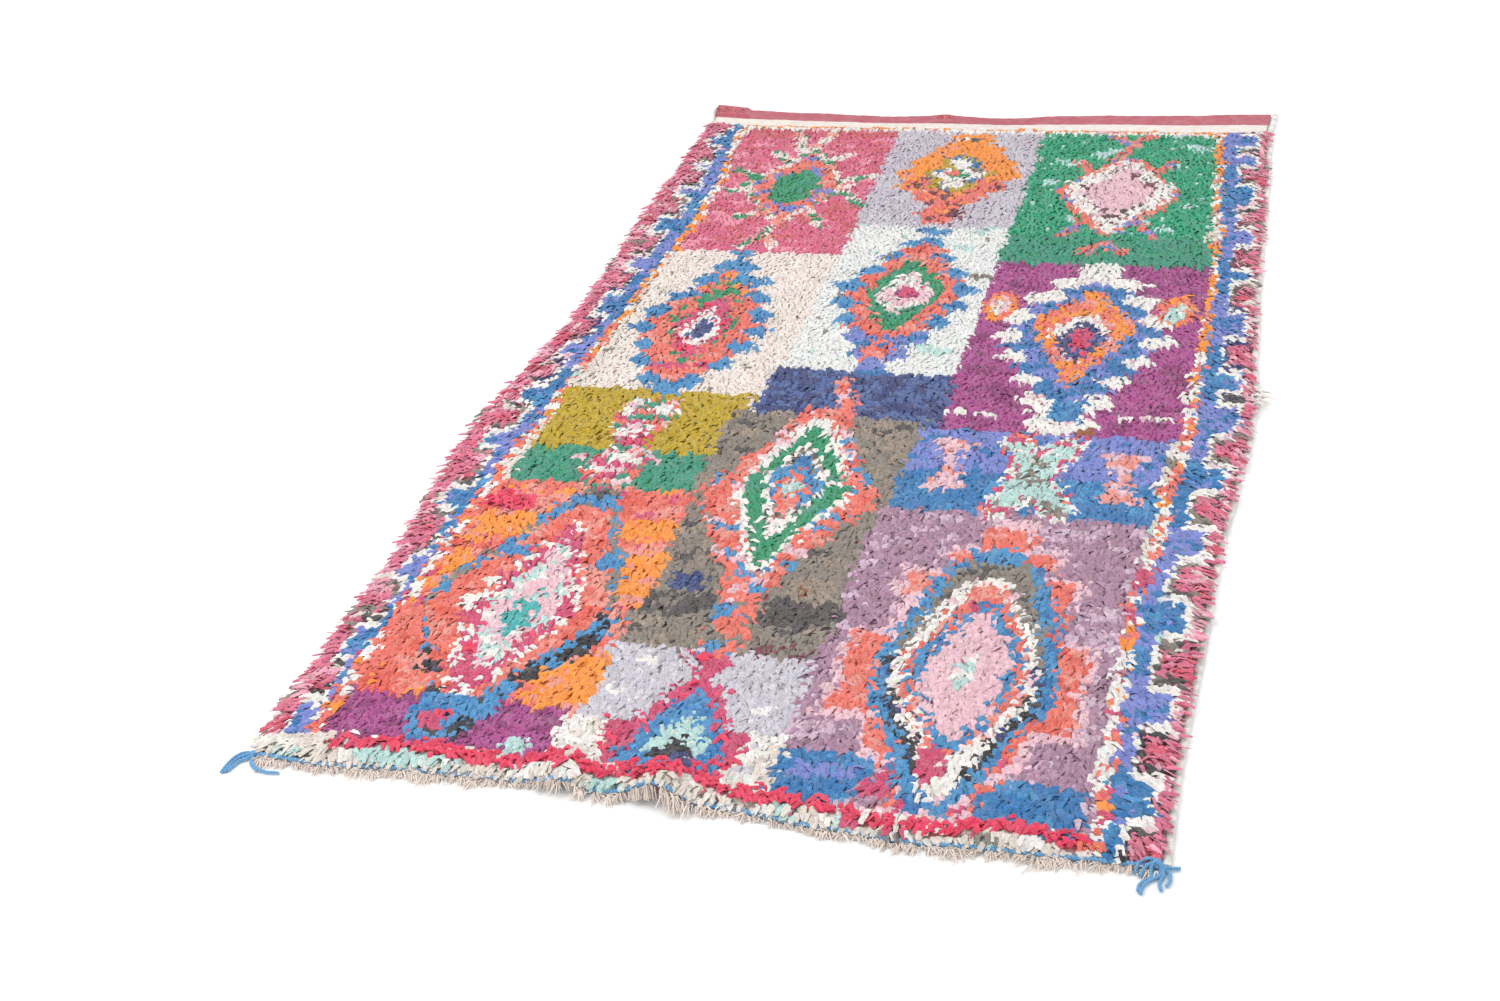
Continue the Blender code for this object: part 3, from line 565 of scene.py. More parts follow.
MINT_PATCHES = blocks(
    "mint", (0.17, 0.30, 0.045, 0.075), (0.59, 0.65, 0.02, 0.06), (0.42, 0.46, 0.10, 0.13)
)

CHART = [
    *FIELDS, *ROSE_STAR, *ORANGE_LOZENGE, *EMERALD_STAR, *CREAM_LOZENGE, *WHITE_LOZENGE,
    *PURPLE_LOZENGE, *OLIVE_VASE, *TAUPE_LOZENGE, *BLUE_CROSS, *CORAL_LOZENGE, *WHITE_ARROW,
    *MAUVE_LOZENGE, Block("near_cream", -0.10, 1.60, -0.20, 0.055), *MINT_PATCHES,
]

# The crimson line above the near end. Columns: across, along.
CRIMSON_LINE = (
    (0.13, 0.070), (0.25, 0.080), (0.42, 0.070), (0.52, 0.095), (0.62, 0.066), (0.72, 0.105),
    (0.84, 0.057), (0.93, 0.060), (1.05, 0.034), (1.15, 0.032), (1.28, 0.056), (1.37, 0.036),
)
CRIMSON_WIDTH = 0.024

# The thin lines that part the borders from the field. Columns: along, left, right.
BORDER_LINES = (
    (0.10, 0.098, 1.370), (0.60, 0.110, 1.365), (0.90, 0.115, 1.385), (1.20, 0.128, 1.405),
    (1.60, 0.150, 1.405), (2.00, 0.170, 1.400), (2.20, 0.165, 1.378), (2.60, 0.130, 1.360),
)
# Width of those lines. Columns: along, width.
LINE_WIDTHS = ((0.8, 0.025), (1.8, 0.015))

# The orange row and the white row that end the pile at the far bands: their heights along the
# rug and where they start and end across it
FAR_ORANGE = 0.020
FAR_WHITE = 0.012
FAR_ROW_ENDS = (0.12, 1.38)

# The near left corner stays cream this far across and along
NEAR_CORNER = (0.12, 0.085)

# How far the weaver strays from the chart
STRAY = 0.005

# How far the middle of a strip lies from its knot, and how far in the borders' lean reaches
STRIP_REACH = 0.011
BORDER_REACH = 0.13

# A weaver keeps to one rag for a run of knots: the run's length across, its depth along, and
# the share of knots that keep to it
RUN_LENGTH = 0.034
RUN_DEPTH = 0.020
RUN_SHARE = 0.86

# The rose teeth of each border. Columns: middle along the rug, half height. One that is
# less than nothing leaves only its dark outline.
LEFT_TEETH = (
    (2.585, 0.030), (2.405, 0.028), (2.265, 0.030), (2.10, 0.030), (1.89, 0.032), (1.70, 0.034),
    (1.48, 0.038), (1.29, 0.034), (1.10, 0.030), (0.905, 0.044), (0.68, 0.050), (0.455, 0.044),
    (0.225, 0.034),
)
RIGHT_TEETH = (
    (2.64, 0.022), (2.49, -0.005), (2.345, 0.026), (2.12, 0.030), (1.925, 0.030), (1.74, 0.044),
    (1.495, 0.038), (1.32, -0.002), (1.13, 0.028), (0.927, 0.030), (0.713, 0.033), (0.525, -0.004),
    (0.468, 0.033), (0.258, 0.033), (0.045, 0.025),
)
# Where the parts of a border begin, as shares of its width from its line to its edge
WHITE_START = 0.38
OUTLINE_START = 0.43
TOOTH_START = 0.48
RIM_WHITE_START = 0.68
RIM_START = 0.75
# How far past the rose of a tooth its dark outline and its white outline reach
TOOTH_OUTLINE = 0.016
TOOTH_WHITE = 0.037
# How often the blue of the spine changes in each metre
SPINE_CHANGES = 4.6
# Where the dark outlines and the thin lines take to another mix, along the rug
DARK_STARTS = (
    ("comb_dark_end", -0.10), ("comb_dark_near", 0.40), ("comb_dark_middle", 1.20), ("comb_dark_far", 1.70),
)
LINE_STARTS = (("line_near", -0.10), ("line_middle", 0.80), ("line_far", 1.50))

# The three sections of a strip from its root to its tip: how far along it they lie, their
# width, the depth of their crease and their painted shade (the root darkened where the
# strips over it shade it), each as a share of the most
STRIP_ALONG = (0.0, 0.42, 1.0)
STRIP_GIRTH = (0.55, 1.0, 0.55)
STRIP_CREASE = (0.5, 1.0, 0.55)
STRIP_PAINTED_SHADE = (0.94, 1.0, 1.0)
SECTIONS = len(STRIP_ALONG)
# Corners of a strip's section
CORNERS = 3
# No rag hangs lower over the floor than this
FLOOR_CLEARANCE = 0.0004

# The pile: the height of its middle, the first row's place, how far a knot strays as a share
# of the pitches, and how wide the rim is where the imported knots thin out
PILE_MIDDLE = 0.016
FIRST_ROW = 0.005
KNOT_JITTER = 0.32
KNOT_RIM = 0.030
# Height of a strip's root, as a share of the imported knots
ROOT_SHARE = 0.92
# Strips get smaller towards the far end: where that starts, how long it takes, and by how much
SHRINK_START = 0.9
SHRINK_LENGTH = 0.8
FAR_SHRINK = 0.12
# How much the pile's height swells and sinks
PILE_SWELL = 0.16
# Leans in radians: at the left and right sides, of the border's own rags, of the crimson line,
# and how far the lean drifts over the field
SIDE_LEANS = (-1.20, 1.25)
EDGE_LEANS = (-1.15, 1.25)
LINE_LEAN = 0.95
LEAN_DRIFT = 0.60
# How much longer strips are at the right rim, as a share. Columns: along, share.
RIM_REACH = ((0.55, -0.16), (1.00, 0.12))

# The ground cloth: its rows and columns of faces, the lightening of its tint (painted light
# that offsets the shade in the gaps between strips), the brightest tint, and the height and
# reach at which it reads the chart
GROUND_ROWS = 150
GROUND_COLUMNS = 84
GROUND_PAINTED_LIGHT = 1.08
TINT_LIMIT = 0.9
GROUND_HEIGHT = 0.014
GROUND_REACH = 0.010

# The flat-woven bands: their columns of faces, the pitch and height of their ribs, and the
# room that ribs and lumps take from their thickness
BAND_COLUMNS = 150
RIB_PITCH = 0.0035
RIB_HEIGHT = 0.0012
RIB_ROOM = 0.0015
# The red band's turned-up left corner and its small tuft
CORNER_WIDTH = 0.10
CORNER_LIFT = 0.0065
FLUFF_ACROSS = 0.65
FLUFF_HALF_WIDTH = 0.03
FLUFF_HEIGHT = 0.004

# The overcast edges: their rings, corners to a ring, and the distance between turns of wool
OVERCAST_RINGS = 900
OVERCAST_SIDES = 10
OVERCAST_TURN = 0.0065

# The twined cord: its rings, the length of a turn, the swing of its plies, their radius and the
# height of its middle
CORD_RINGS = 1000
CORD_TURN = 0.013
CORD_SWING = 0.0021
CORD_PLY = 0.0030
CORD_MIDDLE = 0.0055
PLY_SIDES = 5

# The fringe: limits of the length, width and rise of its strands
FRINGE_LENGTH = (0.006, 0.021)
FRINGE_WIDTH = (0.0012, 0.0034)
FRINGE_RISE = (0.002, 0.007)

# The tassels: the length of a yarn's turn, the swing of its plies and their radius, the lowest
# height of a yarn's middle, and the windings of the knot
YARN_TURN = 0.009
YARN_SWING = 0.0013
YARN_PLY = 0.0018
YARN_REST = 0.0035
WIND_PLY = 0.0019
WIND_RISE = 0.0026
WIND_SHARES = (0.72, 0.80, 0.50)

# How many lanes a tube's map is laid out in
MAP_LANES = 24


def metres(name, description, default):
    """A length that a user may change."""
    return FloatProperty(
        name=name, description=description, default=default, min=0.0, precision=4,
        subtype="DISTANCE", unit="LENGTH",
    )


def screen_colour(name, description, default):
    """A colour that a user may change, as it looks on a screen."""
    return FloatVectorProperty(
        name=name, description=description, default=default, size=3, min=0.0, max=1.0,
        subtype="COLOR_GAMMA",
    )


class RugSizes(bpy.types.PropertyGroup):
    """Sizes of the cloth, its knots and its edges."""

    width: metres("Width", "Width of the woven cloth", 1.50)
    length: metres("Length", "Length of the woven cloth", 2.70)
    ground: metres("Ground", "Thickness of the ground weave", 0.003)
    knot_base: metres("Knot base", "Height of the packed knots over the ground weave", 0.0105)
    knot_pitch: metres("Knot pitch", "Distance between knots across the rug", 0.0068)
    row_pitch: metres("Row pitch", "Distance between rows of knots", 0.0100)
    band: metres("Band", "Thickness of the flat-woven bands", 0.0045)
    selvedge_height: metres("Edge height", "Height of the overcast edges", 0.009)
    strands: IntProperty(
        name="Fringe strands", description="Fine strands in the fringe", default=2300, min=10
    )
    seed: IntProperty(name="Seed", description="Start of the random draws", default=11, min=0)


class RugColours(bpy.types.PropertyGroup):
    """Colour of each rag and yarn."""

    __annotations__ = {
        name: screen_colour(name.replace("_", " ").capitalize(), rag.note, rag.colour)
        for name, rag in RAGS.items()
    }


def sizes():
    """The sizes that the user may change."""
    return bpy.context.scene.rag_rug_sizes


def linear_colours(names):
    """Linear red, green and blue of the named rags, one row each."""
    colours = bpy.context.scene.rag_rug_colours
    seen = np.array([getattr(colours, name)[:] for name in names])
    return np.where(seen <= 0.04045, seen / 12.92, ((seen + 0.055) / 1.055) ** 2.4)


def read_table(place, table, column):
    """Read a short table of named rows with a soft curve through its values."""
    rows = np.array(table)
    places, values = rows[:, 0], rows[:, column]
    index = np.clip(np.searchsorted(places, place) - 1, 0, len(places) - 2)
    share = (place - places[index]) / (places[index + 1] - places[index])
    share = np.clip(share, 0.0, 1.0)
    share = share * share * (3.0 - 2.0 * share)
    return values[index] + (values[index + 1] - values[index]) * share


def side_edge(along, side):
    """Across position of the cloth's outer edge: side is 0 for left and 1 for right."""
    return sizes().width * side + read_table(along, SIDE_WANDER, 1 + side)


def ripple_lift(across, past_edge):
    """How far the cloth is lifted, at a distance in from its near edge."""
    fade = np.maximum(0.0, 1.0 - past_edge / RIPPLE_REACH)
    lift = sum(
        height * np.exp(-(((across - middle) / half_width) ** 2))
        for middle, height, half_width in RIPPLES
    )
    return np.maximum(0.0, lift * fade * fade * (3.0 - 2.0 * fade) - RIPPLE_FLOOR)


def cloth_place(row, column):
    """Plan position (across, along) and lift of the cloth, from its own rows and columns."""
    width, length = sizes().width, sizes().length
    near_share = np.maximum(0.0, 1.0 - row / NEAR_BLEND)
    far_share = np.maximum(0.0, 1.0 - (length - row) / FAR_BLEND)
    near = read_table(column, END_WANDER, 1) + TWINING_WIDTH / 2
    far = read_table(column, END_WANDER, 2) - length
    along = row + near * near_share + far * far_share
    left = side_edge(along, 0) + SELVEDGE_WIDTH_LEFT + PIECE_GAP
    right = side_edge(along, 1) - SELVEDGE_WIDTH_RIGHT - PIECE_GAP
    across = left + (right - left) * column / width
    return across, along, ripple_lift(across, row)


def to_world(across, along, height):
    """Points in the rug's frame, one row each."""
    return np.stack(np.broadcast_arrays(across - CENTRE_ACROSS, along - CENTRE_ALONG, height), axis=-1)


def hashed(first, second, seed):
    """An even random number from 0 to 1 for each pair of whole numbers."""
    mixed = (first.astype(np.int64) * 73856093) ^ (second.astype(np.int64) * 19349663)
    mixed = mixed ^ (seed * 83492791)
    mixed = (mixed ^ (mixed >> 13)) * 1274126177
    mixed = (mixed ^ (mixed >> 16)) & 0xFFFFFF
    return mixed / float(0xFFFFFF)


def soft_noise(across, along, size_across, size_along, seed):
    """Smooth noise from -1 to 1 with lumps of the given size."""
    x, y = across / size_across, along / size_along
    left, near = np.floor(x), np.floor(y)
    right_share, far_share = x - left, y - near
    right_share = right_share * right_share * (3 - 2 * right_share)
    far_share = far_share * far_share * (3 - 2 * far_share)
    corners = [hashed(left + i, near + j, seed) for j in (0, 1) for i in (0, 1)]
    near_value = corners[0] + (corners[1] - corners[0]) * right_share
    far_value = corners[2] + (corners[3] - corners[2]) * right_share
    return 2.0 * (near_value + (far_value - near_value) * far_share) - 1.0


def inside(shape, across, along):
    """Which knots lie inside one part of the pattern."""
    if isinstance(shape, Block):
        in_width = (across > shape.left) & (across < shape.right)
        return in_width & (along > shape.near) & (along < shape.far)
    if isinstance(shape, Oval):
        x = (across - shape.middle[0]) / shape.half_width
        y = (along - shape.middle[1]) / shape.half_length
        return x * x + y * y < 1.0
    if isinstance(shape, Bar):
        start, end = np.array(shape.start), np.array(shape.end)
        step = end - start
        share = ((across - start[0]) * step[0] + (along - start[1]) * step[1]) / (step @ step)
        share = np.clip(share, 0.0, 1.0)
        away = np.hypot(across - start[0] - share * step[0], along - start[1] - share * step[1])
        return away < shape.width / 2
    turns = np.array(shape.turns)[::-1]
    stepped = (np.floor(along / shape.step) + 0.5) * shape.step
    half = np.interp(stepped, turns[:, 0], turns[:, 1])
    saw = np.abs((along / shape.pitch) % 1.0 - 0.5) * 4.0 - 1.0
    half = half + shape.teeth * saw
    middle = shape.middle - shape.lean * (turns[-1, 0] - along)
    in_length = (along > turns[0, 0]) & (along < turns[-1, 0])
    return in_length & (np.abs(across - middle) < half)


def paint_border(mixes, across, along, side):
    """Paint one side's border: a thin line, a blue spine, then white with rose teeth."""
    line = read_table(along, BORDER_LINES, 1 + side)
    out = (across - line) if side else (line - across)
    share = out / np.abs(side_edge(along, side) - line)
    teeth = np.array((LEFT_TEETH, RIGHT_TEETH)[side])
    past = (np.abs(along[:, None] - teeth[None, :, 0]) - teeth[None, :, 1]).min(axis=1)
    border = out > 0.0

    def paint(mask, mix):
        """Give a mix to the knots of this border that a mask picks."""
        mixes[border & mask] = MIX_NAMES.index(mix)

    paint(border, "spine")
    paint((along * SPINE_CHANGES + side) % 2.0 < 1.0, "spine_periwinkle")
    paint((share > WHITE_START) & (past < TOOTH_WHITE), "comb_white")
    paint(share > RIM_WHITE_START, "comb_white")
    dark = (share > OUTLINE_START) & (past < TOOTH_OUTLINE)
    for mix, start in DARK_STARTS:
        paint(dark & (along > start), mix)
    paint((share > TOOTH_START) & (past < 0.0), "comb_rose")
    paint(share > RIM_START, "comb_rose")
    on_line = out < np.interp(along, *np.array(LINE_WIDTHS).T)
    for mix, start in LINE_STARTS:
        paint(on_line & (along > start), mix)


def chart_mixes(across, along, height, row):
    """Index of the rag mix of each knot, from the chart as the camera's view gives it."""
    scale = 1.0 / (1.0 - height / CAMERA_HEIGHT)
    across = CAMERA_ACROSS + (across - CAMERA_ACROSS) * scale
    along = CAMERA_ALONG + (along - CAMERA_ALONG) * scale
    across = across + STRAY * soft_noise(across, along, 0.05, 0.022, 21)
    along = along + STRAY * soft_noise(across, along, 0.035, 0.12, 22)
    cream = MIX_NAMES.index("near_cream")
    mixes = np.full(len(across), cream)
    for shape in CHART:
        mixes[inside(shape, across, along)] = MIX_NAMES.index(shape.mix)
    line_along = read_table(across, CRIMSON_LINE, 1)
    in_line = (across > CRIMSON_LINE[0][0]) & (across < CRIMSON_LINE[-1][0])
    mixes[in_line & (along < line_along) & (mixes != MIX_NAMES.index("mint"))] = cream
    mixes[in_line & (np.abs(along - line_along) < CRIMSON_WIDTH / 2)] = MIX_NAMES.index("crimson")
    for side in (0, 1):
        paint_border(mixes, across, along, side)
    mixes[(across < NEAR_CORNER[0]) & (along < NEAR_CORNER[1])] = cream
    far_rows = (across > FAR_ROW_ENDS[0]) & (across < FAR_ROW_ENDS[1])
    mixes[far_rows & (row > BAND_START - FAR_ORANGE - FAR_WHITE)] = MIX_NAMES.index("white")
    mixes[far_rows & (row > BAND_START - FAR_ORANGE)] = MIX_NAMES.index("orange_row")
    return mixes


def pick_rags(mixes, across, along, draws):
    """Index of the rag of each knot: a weaver uses one rag for a short run of knots."""
    lane = np.floor(along / RUN_DEPTH)
    shift = hashed(lane, np.zeros(len(along)), 31)
    run = hashed(np.floor(across / RUN_LENGTH + shift), lane, 32)
    single = draws.random(len(mixes))
    value = np.where(draws.random(len(mixes)) < RUN_SHARE, run, single)
    rags = np.zeros(len(mixes), dtype=int)
    for index, mix in enumerate(MIX_NAMES):
        here = mixes == index
        shares = np.cumsum([share for _, share in MIXES[mix]])
        choice = np.minimum(np.searchsorted(shares / shares[-1], value[here]), len(shares) - 1)
        names = np.array([RAG_NAMES.index(rag) for rag, _ in MIXES[mix]])
        rags[here] = names[choice]
    return rags


def make_object(name, points, faces, colours, uvs=None, smooth=None):
    """An object from arrays. faces is a list of index arrays, one for each count of corners."""
    mesh = bpy.data.meshes.new(name)
    corners = np.concatenate([part.ravel() for part in faces]).astype(np.int32)
    counts = np.concatenate([np.full(len(part), part.shape[1]) for part in faces])
    starts = np.concatenate([[0], np.cumsum(counts)[:-1]]).astype(np.int32)
    mesh.vertices.add(len(points))
    mesh.vertices.foreach_set("co", points.astype(np.float32).ravel())
    mesh.loops.add(len(corners))
    mesh.loops.foreach_set("vertex_index", corners)
    mesh.polygons.add(len(counts))
    mesh.polygons.foreach_set("loop_start", starts)
    mesh.update(calc_edges=True)
    flags = np.ones(len(counts), dtype=bool) if smooth is None else smooth
    mesh.polygons.foreach_set("use_smooth", flags)
    tint = mesh.attributes.new("rag_tint", "FLOAT_COLOR", "POINT")
    opaque = np.concatenate([colours, np.ones((len(colours), 1))], axis=1)
    tint.data.foreach_set("color", opaque.astype(np.float32).ravel())
    if uvs is not None:
        layer = mesh.uv_layers.new(name="OFBake")
        layer.data.foreach_set("uv", uvs.astype(np.float32).ravel())
    if mesh.validate():
        raise RuntimeError(f"{name} had faces that Blender had to mend")
    obj = bpy.data.objects.new(name, mesh)
    bpy.context.scene.collection.objects.link(obj)
    return obj


def crease_strips(mesh):
    """Make the edges that run along each strip sharp, so that rags look folded."""
    ends = np.zeros(len(mesh.edges) * 2, np.int32)
    mesh.edges.foreach_get("vertices", ends)
    ends = ends.reshape(-1, 2)
    sharp = mesh.attributes.new("sharp_edge", "BOOLEAN", "EDGE")
    sharp.data.foreach_set("value", np.abs(ends[:, 0] - ends[:, 1]) == CORNERS)


def strip_faces(count):
    """Corner indices of strips with three-cornered sections: their sides, then their ends."""
    first = np.arange(count)[:, None, None] * SECTIONS * CORNERS
    span = np.arange(SECTIONS - 1)[None, :, None] * CORNERS
    sides = []
    for a, b in ((0, 1), (1, 2), (2, 0)):
        corners = np.array((a, b, b + CORNERS, a + CORNERS))[None, None, :]
        sides.append((first + span + corners).reshape(count, SECTIONS - 1, 4))
    quads = np.stack(sides, axis=1).reshape(-1, 4)
    last = (SECTIONS - 1) * CORNERS
    ends = np.array(((0, 2, 1), (last, last + 1, last + 2)))
    return quads, (first + ends[None]).reshape(-1, 3)


def strip_uvs(count):
    """Map corners of strips, each in a small cell of its own on the map."""
    cells = int(np.ceil(np.sqrt(count)))
    cell = 1.0 / cells
    index = np.arange(count)
    origin = np.stack((index % cells, index // cells), axis=1) * cell
    margin, pitch, height = 0.08, 0.24, 0.22
    spans = np.linspace(margin, 1.0 - margin, SECTIONS)
    quads = np.zeros((3, SECTIONS - 1, 4, 2))
    for side in range(3):
        low = margin + pitch * side
        quads[side, :, 0:2, 0] = spans[:-1, None]
        quads[side, :, 2:4, 0] = spans[1:, None]
        quads[side, :, :, 1] = (low, low + height, low + height, low)
    ends = np.array(
        (((0.08, 0.82), (0.40, 0.82), (0.24, 0.93)), ((0.52, 0.82), (0.68, 0.93), (0.84, 0.82)))
    )
    quad_uvs = origin[:, None, None, None, :] + cell * quads[None]
    end_uvs = origin[:, None, None, :] + cell * ends[None]
    return quad_uvs.reshape(-1, 2), end_uvs.reshape(-1, 2)


def unit(vectors):
    """The same directions with a length of one."""
    return vectors / np.maximum(np.linalg.norm(vectors, axis=-1, keepdims=True), 1e-9)


def draw_between(draws, limits, count):
    """Even random values between two limits."""
    return draws.uniform(limits[0], limits[1], count)


class StripSet:
    """Strips of one piece, gathered cut by cut and then made into one object."""

    def __init__(self):
        self.corners = []
        self.tints = []

    def add(self, root, lean, width, length, rise, droop, roll, fold, colour, draws):
        """Add strips that stand up from their roots and droop along their lean.
        lean is an angle in radians: 0 points to the near end and positive to +X."""
        count = len(root)
        if count == 0:
            return
        shares = np.linspace(0.0, 1.0, SECTIONS)
        ahead = np.stack((np.sin(lean), -np.cos(lean), np.zeros(count)), axis=1)
        sideways = np.stack((-np.cos(lean), -np.sin(lean), np.zeros(count)), axis=1)
        bend = draws.normal(0.0, 0.10, count) * length
        line = np.zeros((count, SECTIONS, 3))
        for k, height in enumerate((0.0, rise, rise * (1.0 - droop))):
            wobble = 1.0 + draws.uniform(-0.12, 0.12, count)
            reach = length * STRIP_ALONG[k] * (wobble if k else 1.0)
            sway = bend * shares[k] ** 2
            line[:, k] = root + ahead * reach[:, None] + sideways * sway[:, None]
            line[:, k, 2] += height
        tangent = unit(np.gradient(line, axis=1))
        level = unit(np.cross(tangent, np.array((0.0, 0.0, 1.0))))
        upright = np.cross(level, tangent)
        twist = draws.normal(0.0, 0.22, count)
        crest = draws.uniform(-0.28, 0.28, count)
        corners = np.zeros((count, SECTIONS, CORNERS, 3))
        for k in range(SECTIONS):
            angle = roll + twist * (shares[k] - 0.4) * 2.0
            sine, cosine = np.sin(angle)[:, None], np.cos(angle)[:, None]
            across = level[:, k] * cosine + upright[:, k] * sine
            normal = upright[:, k] * cosine - level[:, k] * sine
            half = width * STRIP_GIRTH[k] / 2
            slant = tangent[:, k] * (draws.uniform(-0.35, 0.35, count) * half)[:, None] if k else 0.0
            corners[:, k, 0] = line[:, k] - across * half[:, None] - slant
            corners[:, k, 2] = line[:, k] + across * half[:, None] + slant
            raised = normal * (width * fold * STRIP_CREASE[k])[:, None]
            corners[:, k, 1] = line[:, k] + across * (crest * half * 2)[:, None] + raised
        corners[..., 2] = np.maximum(corners[..., 2], FLOOR_CLEARANCE)
        # Painted shade: each strip is a little darker at its root, where the strips over it shade it
        tint = colour[:, None, None, :] * np.array(STRIP_PAINTED_SHADE)[None, :, None, None]
        tint = np.broadcast_to(tint, corners.shape).copy()
        tint *= 1.0 + draws.uniform(-0.05, 0.05, (count, SECTIONS, CORNERS, 1))
        self.corners.append(corners)
        self.tints.append(tint)

    def build(self, name):
        """Make one object from every strip gathered so far."""
        corners = np.concatenate(self.corners)
        quads, ends = strip_faces(len(corners))
        smooth = np.arange(len(quads) + len(ends)) < len(quads)
        uvs = np.concatenate(strip_uvs(len(corners)))
        tints = np.concatenate(self.tints).reshape(-1, 3)
        obj = make_object(name, corners.reshape(-1, 3), [quads, ends], tints, uvs, smooth)
        crease_strips(obj.data)
        return obj


def node(tree, kind, **values):
    """A node of the given kind, with values for its inputs or its own settings."""
    made = tree.nodes.new(kind)
    for name, value in values.items():
        label = name.replace("_", " ")
        found = [socket for socket in made.inputs if socket.name.lower() == label.lower()]
        if found:
            found[0].default_value = value
        else:
            setattr(made, name, value)
    return made


def cloth_group():
    """The shared cloth effect: fibres, faded blotches, a fine weave and painted shade in the dents of the
    crumples, from any tint.
    """
    name = "cloth_fibres"
    if name in bpy.data.node_groups:
        return bpy.data.node_groups[name]
    tree = bpy.data.node_groups.new(name, "ShaderNodeTree")
    for label, kind, default in (
        ("Tint", "NodeSocketColor", (0.5, 0.5, 0.5, 1.0)),
        ("Fibre Scale", "NodeSocketFloat", 700.0),
        ("Fibre Contrast", "NodeSocketFloat", 0.3),
        ("Fading", "NodeSocketFloat", 0.15),
        ("Crumple Depth", "NodeSocketFloat", 1.0),
        ("Crumple Shade", "NodeSocketFloat", 0.2),
        ("Roughness Low", "NodeSocketFloat", 0.7),
        ("Roughness High", "NodeSocketFloat", 0.95),
    ):
        socket = tree.interface.new_socket(label, in_out="INPUT", socket_type=kind)
        socket.default_value = default
    for label, kind in (
        ("Color", "NodeSocketColor"), ("Roughness", "NodeSocketFloat"), ("Height", "NodeSocketFloat"),
    ):
        tree.interface.new_socket(label, in_out="OUTPUT", socket_type=kind)
    links = tree.links
    inputs, outputs = tree.nodes.new("NodeGroupInput"), tree.nodes.new("NodeGroupOutput")
    place = tree.nodes.new("ShaderNodeTexCoord")
    fibres = node(tree, "ShaderNodeTexNoise", Detail=3.0, Roughness=0.6)
    links.new(place.outputs["Object"], fibres.inputs["Vector"])
    links.new(inputs.outputs["Fibre Scale"], fibres.inputs["Scale"])
    stretch = node(tree, "ShaderNodeMapping")
    stretch.inputs["Scale"].default_value = (1.0, 0.25, 1.0)
    links.new(place.outputs["Object"], stretch.inputs["Vector"])
    threads = node(tree, "ShaderNodeTexNoise", Detail=2.0, Roughness=0.7)
    links.new(stretch.outputs["Vector"], threads.inputs["Vector"])
    links.new(inputs.outputs["Fibre Scale"], threads.inputs["Scale"])
    blotches = node(tree, "ShaderNodeTexNoise", Scale=38.0, Detail=3.0, Roughness=0.6)
    links.new(place.outputs["Object"], blotches.inputs["Vector"])
    grain = node(tree, "ShaderNodeMath", operation="ADD")
    links.new(fibres.outputs["Fac"], grain.inputs[0])
    links.new(threads.outputs["Fac"], grain.inputs[1])
    centred = node(tree, "ShaderNodeMath", operation="SUBTRACT")
    centred.inputs[1].default_value = 1.0
    links.new(grain.outputs[0], centred.inputs[0])
    scaled = node(tree, "ShaderNodeMath", operation="MULTIPLY_ADD")
    scaled.inputs[2].default_value = 1.0
    links.new(centred.outputs[0], scaled.inputs[0])
    links.new(inputs.outputs["Fibre Contrast"], scaled.inputs[1])
    crumples = node(tree, "ShaderNodeTexNoise", Scale=160.0, Detail=2.0, Roughness=0.55)
    crumples.inputs["Distortion"].default_value = 1.3
    links.new(place.outputs["Object"], crumples.inputs["Vector"])
    dents = node(tree, "ShaderNodeMath", operation="SUBTRACT")
    dents.inputs[1].default_value = 0.5
    links.new(crumples.outputs["Fac"], dents.inputs[0])
    # Painted shade: the tint is darker in the dents of the crumples and lighter on their crests
    shaded = node(tree, "ShaderNodeMath", operation="MULTIPLY_ADD")
    links.new(dents.outputs[0], shaded.inputs[0])
    links.new(inputs.outputs["Crumple Shade"], shaded.inputs[1])
    links.new(scaled.outputs[0], shaded.inputs[2])
    deep = node(tree, "ShaderNodeMath", operation="MULTIPLY_ADD")
    links.new(dents.outputs[0], deep.inputs[0])
    links.new(inputs.outputs["Crumple Depth"], deep.inputs[1])
    links.new(grain.outputs[0], deep.inputs[2])
    grained = node(tree, "ShaderNodeVectorMath", operation="SCALE")
    links.new(inputs.outputs["Tint"], grained.inputs[0])
    links.new(shaded.outputs[0], grained.inputs["Scale"])
    mask = node(tree, "ShaderNodeMapRange")
    mask.inputs["From Min"].default_value = 0.45
    mask.inputs["From Max"].default_value = 0.75
    links.new(blotches.outputs["Fac"], mask.inputs["Value"])
    amount = node(tree, "ShaderNodeMath", operation="MULTIPLY")
    links.new(mask.outputs["Result"], amount.inputs[0])
    links.new(inputs.outputs["Fading"], amount.inputs[1])
    faded = node(tree, "ShaderNodeMix", data_type="RGBA")
    faded.inputs[7].default_value = (0.86, 0.83, 0.80, 1.0)
    links.new(amount.outputs[0], faded.inputs[0])
    links.new(grained.outputs[0], faded.inputs[6])
    links.new(faded.outputs[2], outputs.inputs["Color"])
    rough = node(tree, "ShaderNodeMapRange")
    rough.inputs["From Min"].default_value = 0.3
    rough.inputs["From Max"].default_value = 0.7
    links.new(fibres.outputs["Fac"], rough.inputs["Value"])
    links.new(inputs.outputs["Roughness Low"], rough.inputs["To Min"])
    links.new(inputs.outputs["Roughness High"], rough.inputs["To Max"])
    links.new(rough.outputs["Result"], outputs.inputs["Roughness"])
    links.new(deep.outputs[0], outputs.inputs["Height"])
    return tree
